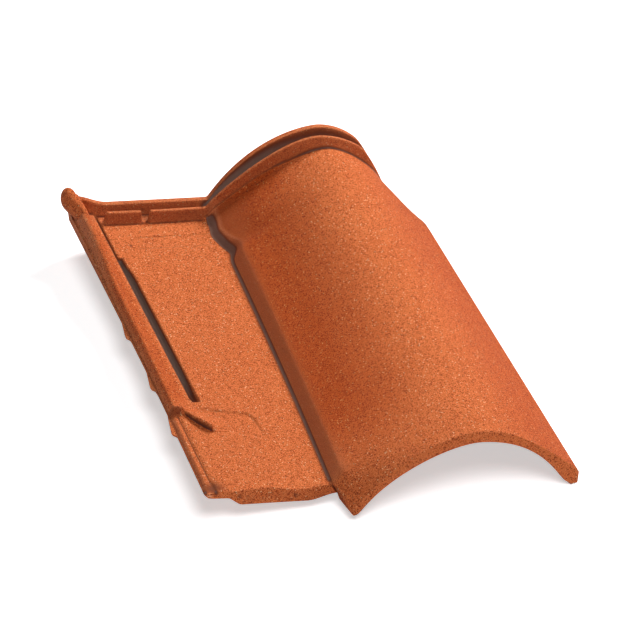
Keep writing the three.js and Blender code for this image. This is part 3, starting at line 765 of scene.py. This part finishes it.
def painted_shade_and_stains(x, y, z):
    """How dark the top surface is painted, from 0 to 1: painted shade in the slot, in the crease
    beside the barrel and up its neck, on the front rib's face and along its foot, between the
    head ribs, along the fan's edge, on the ledge and the step and along the stamp's edge; and
    dark wear in patches on the worn corner."""
    foot = foot_x(y)
    front, rear = RIB_FRONT
    slot = plateau(x, SLOT_LEFT, slot_right(y), 0.25)
    slot = slot * plateau(y, SLOT_START_Y + 1.0, SLOT_END_Y, 1.0)
    beside = ramp(x, foot - 1.4, foot - 0.5) * ramp(y, NOSE_LEAD, NOSE_LEAD + 6.0)
    neck = ramp(y, SHOULDER_Y - 6.0, SHOULDER_Y + 8.0) * fade(y, front - 2.0, front)
    rib_face = plateau(y, front - 0.7, front + 1.0, 0.25) * fade(x, foot - 2.0, foot + 8.0)
    rib_foot = plateau(y, front - 1.3, front - 0.3, 0.3)
    between_ribs = plateau(y, rear + 0.3, RIB_REAR_Y + 0.4, 0.7)
    flank = ramp(x, foot - 6.0, foot + 4.0) * mix(0.95, 0.6, ramp(x, foot + 30.0, CROWN_X))
    fan = hill(fan_line(x, y), 0.0, 1.6) * plateau(x, FAN_LEFT_X, 56.5, 2.0)
    edge = lock_edge(y)
    masks = {
        "slot": slot * mix(0.45, 1.0, ramp(y, SLOT_START_Y, SLOT_START_Y + 55.0)),
        "crease": beside * fade(z, mix(1.4, 4.0, neck), mix(2.4, 8.0, neck)),
        "neck": neck * beside * fade(z, 18.0, 34.0),
        "rib_face": rib_face * ramp(x, SLOT_NARROW, SLOT_NARROW + 3.0),
        "rib_foot": rib_foot * ramp(x, foot + 30.0, CROWN_X - 10.0),
        "flank_between_ribs": between_ribs * flank,
        "pan_between_ribs": between_ribs * plateau(x, SLOT_NARROW + 8.0, foot - 4.0, 2.0),
        "corner": hill(x, -2.0, 9.0) * hill(y, 30.0, 9.0),
        "fan": fan * ramp(y, 100.0, 116.0),
        "ledge": fade(x, edge + 3.6, edge + 5.6) * fade(y, STEP_Y, STEP_Y + 4.0),
        "step": plateau(y, STEP_Y - STEP_RUN, STEP_Y + 0.8, 1.0) * fade(x, 1.5, 4.5),
        "stamp": plateau(x, *STAMP_X, 0.8) * plateau(y, STAMP_Y[0] - 0.5, STAMP_Y[0] + 0.7, 0.4),
    }
    layers = [SHADE_AND_STAIN_LEVELS[name] * mask + 0.0 * x for name, mask in masks.items()]
    return np.clip(np.maximum.reduce(layers), 0.0, 1.0)


def on_ribs(y):
    """0 on the pan and the barrel, 1 from the front head rib on."""
    return ramp(y, RIB_FRONT[0] - 1.4, RIB_FRONT[0])


def pressed_band(x, y, z):
    """Where the skin is smoother and browner: the facet beside the pan, the ribs."""
    foot = foot_x(y)
    beside = ramp(x, foot - 0.5, foot + 0.8) * ramp(y, NOSE_LEAD - 4.0, NOSE_LEAD + 3.0)
    top = SKIRT_HEIGHT + mix(4.5, 12.0, ramp(y, SHOULDER_Y, NECK_Y))
    return np.maximum(beside * fade(z, SKIRT_HEIGHT - 1.5, top), 0.5 * on_ribs(y))


def browned_and_shaded_sides(points):
    """How much the barrel's two sides, its neck and the lock are browned, from 0 to 1. This was set
    together with the lamps: it is partly the clay's browner colour and partly painted shade that
    darkens the sides."""
    x, y, _ = points.T
    start = foot_x(y) + SKIRT_WIDTH
    left = mix(0.2, 0.85, ramp(y, 0.0, 90.0)) * fade(x, start + 22.0, CROWN_X - 6.0)
    beside = 0.4 * ramp(y, NOSE_LEAD, 160.0) * fade(x, start + 2.0, start + 34.0)
    neck = 0.6 * ramp(y, NECK_Y - 6.0, 398.0) * fade(x, start + 22.0, CROWN_X - 20.0)
    left = np.minimum(left + beside + neck, 1.0) * mix(1.0, 0.35, on_ribs(y))
    left = left * ramp(x, start - 1.5, start + 1.5)
    right = 0.85 * ramp(x, CROWN_X, CROWN_X + 58.0)
    edge = lock_edge(y)
    lock = 0.7 * fade(x, 6.0, SLOT_LEFT) * ramp(y, STEP_Y - 10.0, STEP_Y + 20.0)
    return np.clip(left + right + lock * ramp(x, edge + 1.0, edge + 4.0), 0.0, 1.0)


def painted_light_on_lock(points):
    """Painted light: how much paler the lock's outer side is painted behind the step. This was set
    together with the lamps and lightens the shade that they leave there."""
    x, y, _ = points.T
    edge = lock_edge(y)
    return 0.13 * fade(x, edge + 1.0, edge + 3.5) * ramp(y, STEP_Y - 4.0, STEP_Y + 10.0)


def spotted(points, spots):
    """Round soft spots on the surface, from 0 to 1 at each spot's centre."""
    masks = [np.exp(-((points - spot[:3]) ** 2).sum(axis=-1) / spot[3] ** 2) for spot in spots]
    return np.maximum.reduce(masks)


def lug_profile(y):
    """How far the lugs stand out of the lock's outer face: blunt in front, dying away behind."""
    proud = np.zeros_like(y)
    for lug in LUG_FRONTS:
        rise = ramp(y, lug - 2.4, lug + 2.6)
        fall = 1.0 - share(y, lug + 1.0, lug + 1.0 + LUG_LENGTH)
        proud = np.maximum(proud, LUG_PROUD * rise * fall)
    return proud


def grid_faces(grid, cells):
    """Four-cornered faces of the grid's chosen cells, in the order of its rows and columns."""
    corners = (grid[:-1, :-1], grid[:-1, 1:], grid[1:, 1:], grid[1:, :-1])
    return np.stack([corner[cells] for corner in corners], 1)


def wall_points(top, low, path, front_row):
    """Walls between the edges of the top and the underside. A wall at w from 0 to 1 stands out
    by EDGE (1 - |2w - 1|^6)^(1/6), which rounds both edges, and carries the lugs on the lock."""
    high_ring = top[path[:, 0], path[:, 1]]
    low_ring = low[path[:, 0], path[:, 1]]
    along = np.roll(high_ring, -2, axis=0) - np.roll(high_ring, 2, axis=0)
    out = np.stack((along[:, 1], -along[:, 0], np.zeros(len(along))), axis=1)
    out /= np.maximum(np.linalg.norm(out, axis=1), 1e-6)[:, None]
    w = WALL_STEPS[:, None]
    round_over = (1.0 - np.abs(2.0 * w - 1.0) ** 6) ** (1.0 / 6.0)
    on_lock = (path[:, 1] == 0) & (path[:, 0] > front_row)
    lug = np.where(on_lock, lug_profile(high_ring[:, 1]), 0.0)[None, :]
    on_toe = (path[:, 1] == FLAT_COLUMNS) & (path[:, 0] < front_row)
    reach = EDGE * round_over * np.where(on_toe, 0.3, 1.0)[None, :]
    reach = reach + lug * plateau(w, *LUG_ON_WALL, 0.1)
    return high_ring + (low_ring - high_ring) * w[..., None] + out[None] * reach[..., None]


def tile_surface():
    """The whole tile: a top and an underside grid of (x, y, z), and walls between their edges.
    The grids have no cells in front of the pan's edge, beside the toe."""
    y = row_positions()
    x_top, z_top = top_columns(y)
    x_top, z_top = raise_ribs(x_top, y, z_top)
    x_low, z_low = bottom_columns(y)
    rows, columns = x_top.shape
    front_row = int(np.argmin(np.abs(y[:, 0] - PAN_FRONT_Y)))
    y_grid = np.repeat(y, columns, axis=1)
    on_pan = (np.arange(columns) < FLAT_COLUMNS)[None, :]
    near_front = np.exp(-np.abs(y - PAN_FRONT_Y) / 8.0) * on_pan * (y > PAN_FRONT_Y - BEFORE)
    run, sag = front_wave(x_top)
    z_top = z_top - sag * near_front - fan_depth(x_top, y) * on_pan
    top = np.stack((x_top, y_grid + run * near_front, z_top), axis=-1)
    low = np.stack((x_low, y_grid, z_low), axis=-1)
    grid = np.arange(rows * columns).reshape(rows, columns)
    cells = np.ones((rows - 1, columns - 1), bool)
    cells[:front_row, :FLAT_COLUMNS] = False
    upper = grid_faces(grid, cells)
    faces = [upper, upper[:, ::-1] + rows * columns]
    path = perimeter(rows, columns, front_row)
    walls = wall_points(top, low, path, front_row)
    start = 2 * rows * columns
    ring = np.arange(len(path))
    after = np.roll(ring, -1)
    levels = [grid[path[:, 0], path[:, 1]]]
    levels += [start + k * len(path) + ring for k in range(len(WALL_STEPS))]
    levels.append(levels[0] + rows * columns)
    for above, below in zip(levels[:-1], levels[1:]):
        faces.append(np.stack((above[ring], below[ring], below[after], above[after]), 1))
    points = np.concatenate([part.reshape(-1, 3) for part in (top, low, walls)])
    marks = np.zeros((4, len(points)))
    # The first mark: painted shade in recesses, dark wear on the corner, and dark spots.
    marks[0, : start // 2] = painted_shade_and_stains(x_top, y, z_top).reshape(-1)
    marks[0] = np.maximum(marks[0], 0.85 * spotted(points, DARK_SPOTS))
    marks[1, : start // 2] = pressed_band(x_top, y, z_top).reshape(-1)
    # A brown tint on the sides, partly the clay's colour and partly painted shade.
    marks[2, :start] = browned_and_shaded_sides(points[:start])
    # Pale chips, and painted light on the lock's outer side.
    marks[3] = np.maximum(spotted(points, PALE_CHIPS), painted_light_on_lock(points))
    faces = np.concatenate(faces)
    used = np.unique(faces)
    place = np.zeros(len(points), int)
    place[used] = np.arange(len(used))
    return points[used], place[faces], marks[:, used]


def rounded_block(low, high, radius):
    """Superellipsoid block between two corners: the points of a cube's surface, divided by
    (|x|^p + |y|^p + |z|^p)^(1/p), with p set by the ratio of the block's size to its radius."""
    low, high = np.array(low), np.array(high)
    power = 2.0 / max(0.16, min(1.0, 2.2 * radius / float(np.min(high - low))))
    turn = np.tan(np.linspace(-1.0, 1.0, BLOCK_STEPS + 1) * math.pi / 4)
    u, v = np.meshgrid(turn, turn, indexing="ij")
    one = np.ones_like(u)
    sides = [(one, u, v), (-one, v, u), (v, one, u), (u, -one, v), (u, v, one), (v, u, -one)]
    cube = np.concatenate([np.stack(side, -1).reshape(-1, 3) for side in sides])
    unit = cube / (np.abs(cube) ** power).sum(axis=1, keepdims=True) ** (1.0 / power)
    grid = np.arange(len(cube)).reshape(6, BLOCK_STEPS + 1, BLOCK_STEPS + 1)
    faces = np.stack((grid[:, :-1, :-1], grid[:, 1:, :-1], grid[:, 1:, 1:], grid[:, :-1, 1:]), -1)
    _, first, place = np.unique(np.round(unit, 6), axis=0, return_index=True, return_inverse=True)
    points = (low + high) / 2 + unit[first] * (high - low) / 2
    return points, place.reshape(-1)[faces.reshape(-1, 4)]


def post_surface():
    """Rounded end of the lock's ridge at the head. With f the way forward from the block's middle,
    from 0 to 1, its front half is drawn out by reach f^power along each axis."""
    middle_x = LOCK_EDGE[1] - POST_OUTSET - 0.5
    middle = np.array((middle_x, TILE_LENGTH - POST_RADIUS, RIDGE_HEIGHT - 0.8))
    half = np.array((POST_WIDTH / 2, POST_RADIUS + POST_PROUD, POST_RADIUS + 2.2))
    points, faces = rounded_block(middle - half, middle + half, POST_ROUNDING)
    forward = np.maximum(middle[1] - points[:, 1], 0.0) / half[1]
    for axis, (reach, power) in enumerate(POST_DRAWN_OUT):
        points[:, axis] += reach * forward**power
    marks = np.zeros((4, len(points)))
    # The post is browned like the lock's sides: partly painted shade.
    marks[2] = POST_BROWN_AND_SHADE
    return points, faces, marks


def tongue_surface():
    """Low tongue from the lock's step: ruled from the top of a small upright blade, of even
    height up to its blunt end, out over the pan, where it fades into the fan. The blade's face
    is painted darker towards its root, as painted shade."""
    s = np.linspace(0.0, 1.0, 46)[:, None]
    v = np.linspace(0.0, 1.0, 26)[None, :]
    blade = bezier(BLADE_LINE, s)
    far = bezier(TONGUE_LINE, s)
    x, y = blend_points(blade, far, v)
    height = mix(BLADE_HEIGHT - 0.6, BLADE_HEIGHT + 1.0, s)
    height = height * fade(s, mix(0.96, 0.5, ramp(v, 0.0, 0.4)), 1.0)
    top = height * (1.0 - v) ** 1.3 - 0.15 - 0.9 * v
    root = np.full_like(top, -TONGUE_ROOT)
    points = np.concatenate([np.stack((x, y, z), -1).reshape(-1, 3) for z in (top, root)])
    rows, columns = x.shape
    grid = np.arange(rows * columns).reshape(rows, columns)
    corners = (grid[:-1, :-1], grid[1:, :-1], grid[1:, 1:], grid[:-1, 1:])
    upper = np.stack(corners, -1).reshape(-1, 4)
    lower = upper[:, ::-1] + rows * columns
    ring = np.concatenate((grid[0, :-1], grid[:-1, -1], grid[-1, :0:-1], grid[:0:-1, 0]))
    after = np.roll(ring, -1)
    side = np.stack((ring, after, after + rows * columns, ring + rows * columns), 1)
    marks = np.zeros((4, len(points)))
    # Painted shade: the root is fully darkened, so the blade's face darkens towards it.
    marks[0, rows * columns :] = 1.0
    return points, np.concatenate((upper, lower, side)), marks


# ---- Mesh and material helpers ----------------------------------------------------------------


def curvature(points, faces):
    """Signed bend of the surface at each vertex, per millimetre: the mean over its edges of
    (change of normal) . (edge) / length^2, above 0 on outward edges and below 0 in creases."""
    corners = points[faces]
    normal = np.cross(corners[:, 2] - corners[:, 0], corners[:, 3] - corners[:, 1])
    vertex_normal = np.zeros_like(points)
    for k in range(4):
        for axis in range(3):
            vertex_normal[:, axis] += np.bincount(faces[:, k], normal[:, axis], len(points))
    vertex_normal /= np.maximum(np.linalg.norm(vertex_normal, axis=1), 1e-9)[:, None]
    total, count = np.zeros(len(points)), np.zeros(len(points))
    for k in range(4):
        start, end = faces[:, k], faces[:, (k + 1) % 4]
        edge = points[end] - points[start]
        length = np.maximum((edge**2).sum(axis=1), 0.04)
        bend = ((vertex_normal[end] - vertex_normal[start]) * edge).sum(axis=1) / length
        for vertex in (start, end):
            total += np.bincount(vertex, bend, len(points))
            count += np.bincount(vertex, minlength=len(points))
    return total / np.maximum(count, 1.0)


def make_piece(name, points, faces, marks=None):
    """A mesh object at the origin from tile millimetres and four-cornered faces, smooth, with
    the fired clay on it. Its bends and its four marks are stored as attributes."""
    points, faces = np.asarray(points, float), np.asarray(faces, int)
    mesh = bpy.data.meshes.new(name)
    mesh.from_pydata(to_row(points).tolist(), [], faces.tolist())
    bend = BEND_TO_MASK * curvature(points, faces)
    bends = (np.clip(bend, 0.0, 1.0), np.clip(-bend, 0.0, 1.0))
    marks = np.zeros((4, len(points))) if marks is None else marks
    for label, value in zip(ATTRIBUTES, (*bends, *marks)):
        attribute = mesh.attributes.new(label, "FLOAT", "POINT")
        attribute.data.foreach_set("value", value.astype(np.float32))
    mesh.update()
    mesh.shade_smooth()
    piece = bpy.data.objects.new(name, mesh)
    bpy.context.scene.collection.objects.link(piece)
    mesh.materials.append(fired_clay(bpy.context.scene.roof_tile))
    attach(piece, "root")
    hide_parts("roof_tile")
    return piece


def add_node(tree, kind, inputs=None, **settings):
    """A node with its settings, and its inputs set to values or linked from sockets."""
    node = tree.nodes.new(kind)
    for label, value in settings.items():
        setattr(node, label, value)
    for key, value in (inputs or {}).items():
        if isinstance(value, bpy.types.NodeSocket):
            tree.links.new(value, node.inputs[key])
        else:
            node.inputs[key].default_value = value
    return node


def calculate(tree, operation, first, second, clamp=False):
    """The result of a Math node."""
    inputs = {0: first, 1: second}
    return add_node(tree, "ShaderNodeMath", inputs, operation=operation, use_clamp=clamp).outputs[0]


def add(tree, first, second, clamp=False):
    """The sum of two values."""
    return calculate(tree, "ADD", first, second, clamp)


def subtract(tree, first, second):
    """The first value less the second."""
    return calculate(tree, "SUBTRACT", first, second)


def multiply(tree, first, second, clamp=False):
    """The product of two values."""
    return calculate(tree, "MULTIPLY", first, second, clamp)


def between(tree, value, low, high):
    """0 below low, 1 above high and a smooth step from one to the other."""
    inputs = {"Value": value, "From Min": low, "From Max": high}
    return add_node(tree, "ShaderNodeMapRange", inputs, interpolation_type="SMOOTHSTEP").outputs[0]


def blend(tree, factor, first, second, mode="MIX"):
    """One colour mixed into another, or multiplied by it."""
    inputs = {0: factor, 6: first, 7: second}
    node = add_node(tree, "ShaderNodeMix", inputs, data_type="RGBA", blend_type=mode)
    return node.outputs[2]


def lighten(tree, colour, field, strength, pale, deep):
    """A colour drawn to the pale one where the field is above 0, and to the deep one below."""
    colour = blend(tree, multiply(tree, field, strength, clamp=True), colour, pale)
    return blend(tree, multiply(tree, field, -strength, clamp=True), colour, deep)


def start_group(name, inputs, outputs):
    """A node group with a vector input, then float inputs and outputs, and its two end nodes."""
    tree = bpy.data.node_groups.new(name, "ShaderNodeTree")
    tree.interface.new_socket("Vector", in_out="INPUT", socket_type="NodeSocketVector")
    for direction, labels in (("INPUT", inputs), ("OUTPUT", outputs)):
        for label in labels:
            tree.interface.new_socket(label, in_out=direction, socket_type="NodeSocketFloat")
    return tree, tree.nodes.new("NodeGroupInput").outputs, tree.nodes.new("NodeGroupOutput").inputs


def grain_group():
    """Sand in the clay's skin: a fine noise of light and dark grains. Some coarse grains, one to a
    cell, are dark pits and a few are pale specks."""
    inputs = ("Grains per metre", "Pits", "Specks")
    tree, given, result = start_group("clay_grain", inputs, ("Pit", "Speck", "Tone", "Height"))
    place, fineness, pit_share, speck_share = given[:4]
    cell_inputs = {"Vector": place, "Scale": multiply(tree, fineness, 0.48)}
    cells = add_node(tree, "ShaderNodeTexVoronoi", cell_inputs, feature="F1")
    sand_inputs = {"Vector": place, "Scale": fineness, "Detail": 3.0, "Roughness": 0.75}
    sand = add_node(tree, "ShaderNodeTexNoise", sand_inputs)
    split = add_node(tree, "ShaderNodeSeparateColor", {0: cells.outputs["Color"]})
    tone = multiply(tree, subtract(tree, sand.outputs[0], 0.5), 3.0)
    tone = add(tree, tone, 0.5, clamp=True)
    inside = subtract(tree, 1.0, between(tree, cells.outputs["Distance"], 0.38, 0.60))
    masks = []
    for channel, part in zip(split.outputs, (pit_share, speck_share)):
        beyond = subtract(tree, channel, subtract(tree, 1.0, part))
        masks.append(multiply(tree, between(tree, beyond, -0.01, 0.02), inside))
    pit, speck = masks
    height = subtract(tree, tone, multiply(tree, pit, 1.2))
    height = add(tree, height, multiply(tree, speck, 0.6))
    for socket, value in zip(result, (pit, speck, tone, height)):
        tree.links.new(value, socket)
    return tree


def cloud_group():
    """Soft clouds of colour at two sizes, as values around 0."""
    tree, given, result = start_group("clay_clouds", ("Wide", "Close"), ("Wide", "Close"))
    for index, detail in ((1, 3.0), (2, 4.0)):
        values = {"Vector": given[0], "Scale": given[index], "Detail": detail, "Roughness": 0.6}
        noise = add_node(tree, "ShaderNodeTexNoise", values)
        tree.links.new(subtract(tree, noise.outputs[0], 0.5), result[index - 1])
    return tree


def fired_clay(settings):
    """Red fired clay: soft clouds over the body colour, sandy grain with dark pits and pale
    specks, rubbed edges, pale chips and dark stains where the attributes say. The attributes also
    paint shade and light: painted shade in creases and recesses, a brown tint that is partly
    painted shade on the sides, and painted light on the lock's outer side."""
    material = bpy.data.materials.get("sanded_clay")
    if material:
        return material
    material = bpy.data.materials.new("sanded_clay")
    material.use_nodes = True
    tree = material.node_tree
    shader = tree.nodes["Principled BSDF"]
    place = tree.nodes.new("ShaderNodeTexCoord").outputs["Object"]
    cloud_inputs = {"Vector": place, "Wide": WIDE_CLOUDS, "Close": CLOSE_CLOUDS}
    clouds = add_node(tree, "ShaderNodeGroup", cloud_inputs, node_tree=cloud_group()).outputs
    grain_inputs = {
        "Vector": place,
        "Grains per metre": 1000.0 / settings.grain_size,
        "Pits": PIT_SHARE,
        "Specks": SPECK_SHARE,
    }
    grain = add_node(tree, "ShaderNodeGroup", grain_inputs, node_tree=grain_group())
    pit, speck, shade, height = grain.outputs
    worn, crevice, shade_and_stain, pressed, browned_and_shaded, chips_and_painted_light = (
        add_node(tree, "ShaderNodeAttribute", attribute_name=label).outputs["Fac"]
        for label in ATTRIBUTES
    )
    clay, pale, deep, shade_and_stain_colour = (
        (*getattr(settings, f"{name}_colour"), 1.0) for name in ("clay", "pale", "deep", "shade_and_stain")
    )
    colour = lighten(tree, clay, clouds["Wide"], CLOUD_CONTRAST, pale, deep)
    patches = multiply(tree, clouds["Close"], PATCH_STRENGTH)
    lighter = add(tree, subtract(tree, shade, 0.5), patches)
    colour = lighten(tree, colour, lighter, GRAIN_CONTRAST, pale, deep)
    rubbed = multiply(tree, worn, between(tree, shade, 0.1, 0.7))
    unpressed = subtract(tree, RUBBED_STRENGTH, multiply(tree, pressed, RUBBED_STRENGTH))
    colour = blend(tree, multiply(tree, rubbed, unpressed), colour, pale)
    # Pale chips, and painted light on the lock's outer side.
    colour = blend(tree, multiply(tree, chips_and_painted_light, 0.8), colour, CHIP_AND_LIGHT_COLOUR)
    grainy = multiply(tree, subtract(tree, 1.0, multiply(tree, pressed, 0.75)), 0.9)
    colour = blend(tree, multiply(tree, pit, grainy), colour, PIT_COLOUR)
    colour = blend(tree, multiply(tree, pressed, 0.45), colour, PRESSED_COLOUR)
    colour = blend(tree, multiply(tree, speck, grainy), colour, SPECK_COLOUR)
    # Brown tint on the sides and the lock: partly the clay's colour, partly painted shade.
    colour = blend(tree, browned_and_shaded, colour, BROWN_AND_SHADE_TINT, "MULTIPLY")
    # Painted shade in recesses and in creases found from the bend, with the dark stains.
    shade_and_stain_amount = calculate(tree, "MAXIMUM", shade_and_stain, multiply(tree, crevice, 0.6))
    streak = between(tree, add(tree, shade, patches), -0.3, 0.55)
    shade_and_stain_amount = multiply(tree, shade_and_stain_amount, add(tree, multiply(tree, streak, 0.3), 0.7))
    colour = blend(tree, between(tree, shade_and_stain_amount, 0.0, 0.6), colour, THIN_SHADE_AND_STAIN_COLOUR)
    colour = blend(tree, between(tree, shade_and_stain_amount, 0.4, 0.95), colour, shade_and_stain_colour)
    tree.links.new(colour, shader.inputs["Base Color"])
    rough = add(tree, multiply(tree, shade, 0.16), 0.76)
    rough = subtract(tree, rough, multiply(tree, worn, 0.12))
    tree.links.new(rough, shader.inputs["Roughness"])
    shader.inputs["Specular IOR Level"].default_value = 0.12
    relief = add(tree, height, multiply(tree, clouds["Close"], 0.6))
    bump_inputs = {"Height": relief, "Strength": 1.0, "Distance": settings.grain_relief / 1000.0}
    bump = add_node(tree, "ShaderNodeBump", bump_inputs)
    tree.links.new(bump.outputs[0], shader.inputs["Normal"])
    return material


# ---- Stage ------------------------------------------------------------------------------------


def split_for_camera(tree, plain, seen, output):
    """Sends the seen shader to the camera's own rays, and the plain one to all others."""
    path = tree.nodes.new("ShaderNodeLightPath")
    pick = tree.nodes.new("ShaderNodeMixShader")
    tree.links.new(path.outputs["Is Camera Ray"], pick.inputs["Fac"])
    tree.links.new(plain, pick.inputs[1])
    tree.links.new(seen, pick.inputs[2])
    tree.links.new(pick.outputs[0], tree.nodes[output].inputs["Surface"])


def build_floor():
    """Pale floor that shows white to the camera and keeps the soft shadow."""
    mesh = bpy.data.meshes.new("floor")
    corners = ((-1, -1), (1, -1), (1, 1), (-1, 1))
    mesh.from_pydata([(x * FLOOR_HALF, y * FLOOR_HALF, 0) for x, y in corners], [], [(0, 1, 2, 3)])
    floor = bpy.data.objects.new("floor", mesh)
    floor.location.z = -FLOOR_GAP
    bpy.context.scene.collection.objects.link(floor)
    material = bpy.data.materials.new("pale_floor")
    material.use_nodes = True
    tree = material.node_tree
    shader = tree.nodes["Principled BSDF"]
    shader.inputs["Base Color"].default_value = (0.9, 0.9, 0.91, 1.0)
    shader.inputs["Roughness"].default_value = 0.9
    shader.inputs["Specular IOR Level"].default_value = 0.1
    glow = add_node(tree, "ShaderNodeEmission", {"Strength": FLOOR_GLOW})
    lit = add_node(tree, "ShaderNodeAddShader", {0: shader.outputs[0], 1: glow.outputs[0]})
    split_for_camera(tree, shader.outputs[0], lit.outputs[0], "Material Output")
    mesh.materials.append(material)


def aim(obj, target, roll=0.0):
    """Turns a lamp or camera at the target, with an optional roll about its own axis."""
    direction = Vector(target) - obj.location
    turn = direction.to_track_quat("-Z", "Y")
    obj.rotation_euler = (turn @ Euler((0.0, 0.0, roll)).to_quaternion()).to_euler()


def towards(azimuth, elevation):
    """Unit vector that points that many degrees round from x and up from the floor."""
    azimuth, elevation = math.radians(azimuth), math.radians(elevation)
    flat = math.cos(elevation)
    return Vector((flat * math.cos(azimuth), flat * math.sin(azimuth), math.sin(elevation)))


def add_lamp(name, azimuth, elevation, strength):
    """A large round soft lamp. At strength 1 a white surface that faces it reads as white."""
    lamp = bpy.data.lights.new(name, "AREA")
    lamp.shape = "DISK"
    lamp.size = LAMP_SIZE
    lamp.energy = strength * (math.pi * LAMP_DISTANCE) ** 2
    obj = bpy.data.objects.new(name, lamp)
    obj.location = LAMP_DISTANCE * towards(azimuth, elevation)
    bpy.context.scene.collection.objects.link(obj)
    aim(obj, LAMP_TARGET)


def build_lights():
    """A key from the right and a little behind, a weaker fill from the front, and a faint
    white world that shows as white to the camera."""
    add_lamp("key", *KEY_LAMP)
    add_lamp("fill", *FILL_LAMP)
    world = bpy.data.worlds.new("studio")
    bpy.context.scene.world = world
    world.use_nodes = True
    tree = world.node_tree
    shade = tree.nodes["Background"]
    shade.inputs["Color"].default_value = WHITE
    shade.inputs["Strength"].default_value = WORLD_STRENGTH
    seen = add_node(tree, "ShaderNodeBackground", {"Color": WHITE})
    split_for_camera(tree, shade.outputs[0], seen.outputs[0], "World Output")


def build_camera():
    """Long lens, looking down from the front left."""
    camera = bpy.data.cameras.new("camera")
    camera.lens = CAMERA_LENS
    camera.sensor_width = CAMERA_SENSOR
    camera.clip_end = 50.0
    obj = bpy.data.objects.new("camera", camera)
    bpy.context.scene.collection.objects.link(obj)
    target = Vector(CAMERA_TARGET)
    obj.location = target + CAMERA_DISTANCE * towards(*CAMERA_ANGLES)
    aim(obj, target, roll=math.radians(CAMERA_ROLL))
    bpy.context.scene.camera = obj


# ---- Settings ---------------------------------------------------------------------------------


def colour_setting(name, description, default):
    """A colour that the user can change, in linear red, green and blue."""
    return FloatVectorProperty(
        name=name, description=description, subtype="COLOR", min=0.0, max=1.0, default=default
    )


class RoofTileSettings(bpy.types.PropertyGroup):
    """Colours and grain of the fired clay."""

    clay_colour: colour_setting("Clay", "Main colour of the fired clay", (0.69, 0.164, 0.045))
    pale_colour: colour_setting("Pale clay", "Rubbed edges, clouds and grains", (0.92, 0.27, 0.09))
    deep_colour: colour_setting("Deep clay", "Dark clouds and grains", (0.47, 0.062, 0.008))
    # Colour of the painted shade in slots, creases and recesses, and of the dark stains.
    shade_and_stain_colour: colour_setting("Shade and stains", "Dark dust in slots and creases", (0.29, 0.185, 0.145))
    grain_size: FloatProperty(
        name="Grain",
        description="Size of a sand grain in the skin, in millimetres",
        default=0.45,
        min=0.2,
        max=5.0,
    )
    grain_relief: FloatProperty(
        name="Relief",
        description="Depth of the grain in millimetres",
        default=0.45,
        min=0.0,
        max=2.0,
    )


# ---- Pieces -----------------------------------------------------------------------------------


class ROOFTILE_OT_body(bpy.types.Operator):
    """Builds the pressed body: lock, pan, barrel and head ribs as one closed surface"""

    bl_idname = "roof_tile.body"
    bl_label = "Tile Body"

    def execute(self, context):
        points, faces, marks = tile_surface()
        make_piece("tile_body", points, faces, marks)
        return {"FINISHED"}


class ROOFTILE_OT_lock(bpy.types.Operator):
    """Builds what stands on the side lock: the post at the head and the tongue at the step"""

    bl_idname = "roof_tile.lock"
    bl_label = "Post and Tongue"

    def execute(self, context):
        make_piece("lock_post", *post_surface())
        make_piece("tongue", *tongue_surface())
        return {"FINISHED"}


class ROOFTILE_OT_underside(bpy.types.Operator):
    """Builds the hanging nibs and the weather bar under the pan"""

    bl_idname = "roof_tile.underside"
    bl_label = "Nibs and Weather Bar"

    def execute(self, context):
        top = UNDERSIDE + BLOCK_ROOT
        corners = {}
        for index, left in enumerate(NIB_LEFTS):
            high = (left + NIB_WIDTH, NIB_Y + NIB_LENGTH, top)
            corners[f"nib_{index + 1}"] = ((left, NIB_Y, REST_Z), high)
        high = (SUPPORT_X, BAR_Y + BAR_LENGTH, top)
        corners["weather_bar"] = ((NIB_LEFTS[0], BAR_Y, REST_Z), high)
        for name, (low, high) in corners.items():
            make_piece(name, *rounded_block(low, high, BLOCK_ROUNDING))
        return {"FINISHED"}


class ROOFTILE_OT_stage(bpy.types.Operator):
    """Sets the floor, the studio light and the camera"""

    bl_idname = "roof_tile.stage"
    bl_label = "Stage"

    def execute(self, context):
        context.scene.view_settings.view_transform = "Standard"
        build_floor()
        build_lights()
        build_camera()
        return {"FINISHED"}


class ROOFTILE_PT_panel(bpy.types.Panel):
    """Roof tile panel in the sidebar"""

    bl_idname = "ROOFTILE_PT_panel"
    bl_label = "Roof Tile"
    bl_space_type = "VIEW_3D"
    bl_region_type = "UI"
    bl_category = "Roof Tile"

    def draw(self, context):
        layout = self.layout
        for label in RoofTileSettings.__annotations__:
            layout.prop(context.scene.roof_tile, label)
        for operator in OPERATORS:
            layout.operator(operator.bl_idname)


OPERATORS = (ROOFTILE_OT_body, ROOFTILE_OT_lock, ROOFTILE_OT_underside, ROOFTILE_OT_stage)
CLASSES = (RoofTileSettings, *OPERATORS, ROOFTILE_PT_panel)


def register():
    for cls in CLASSES:
        bpy.utils.register_class(cls)
    bpy.types.Scene.roof_tile = PointerProperty(type=RoofTileSettings)


def unregister():
    del bpy.types.Scene.roof_tile
    for cls in reversed(CLASSES):
        bpy.utils.unregister_class(cls)


def main():
    register()
    bpy.ops.roof_tile.body()
    bpy.ops.roof_tile.lock()
    bpy.ops.roof_tile.underside()
    bpy.ops.roof_tile.stage()


if __name__ == "__main__":
    main()
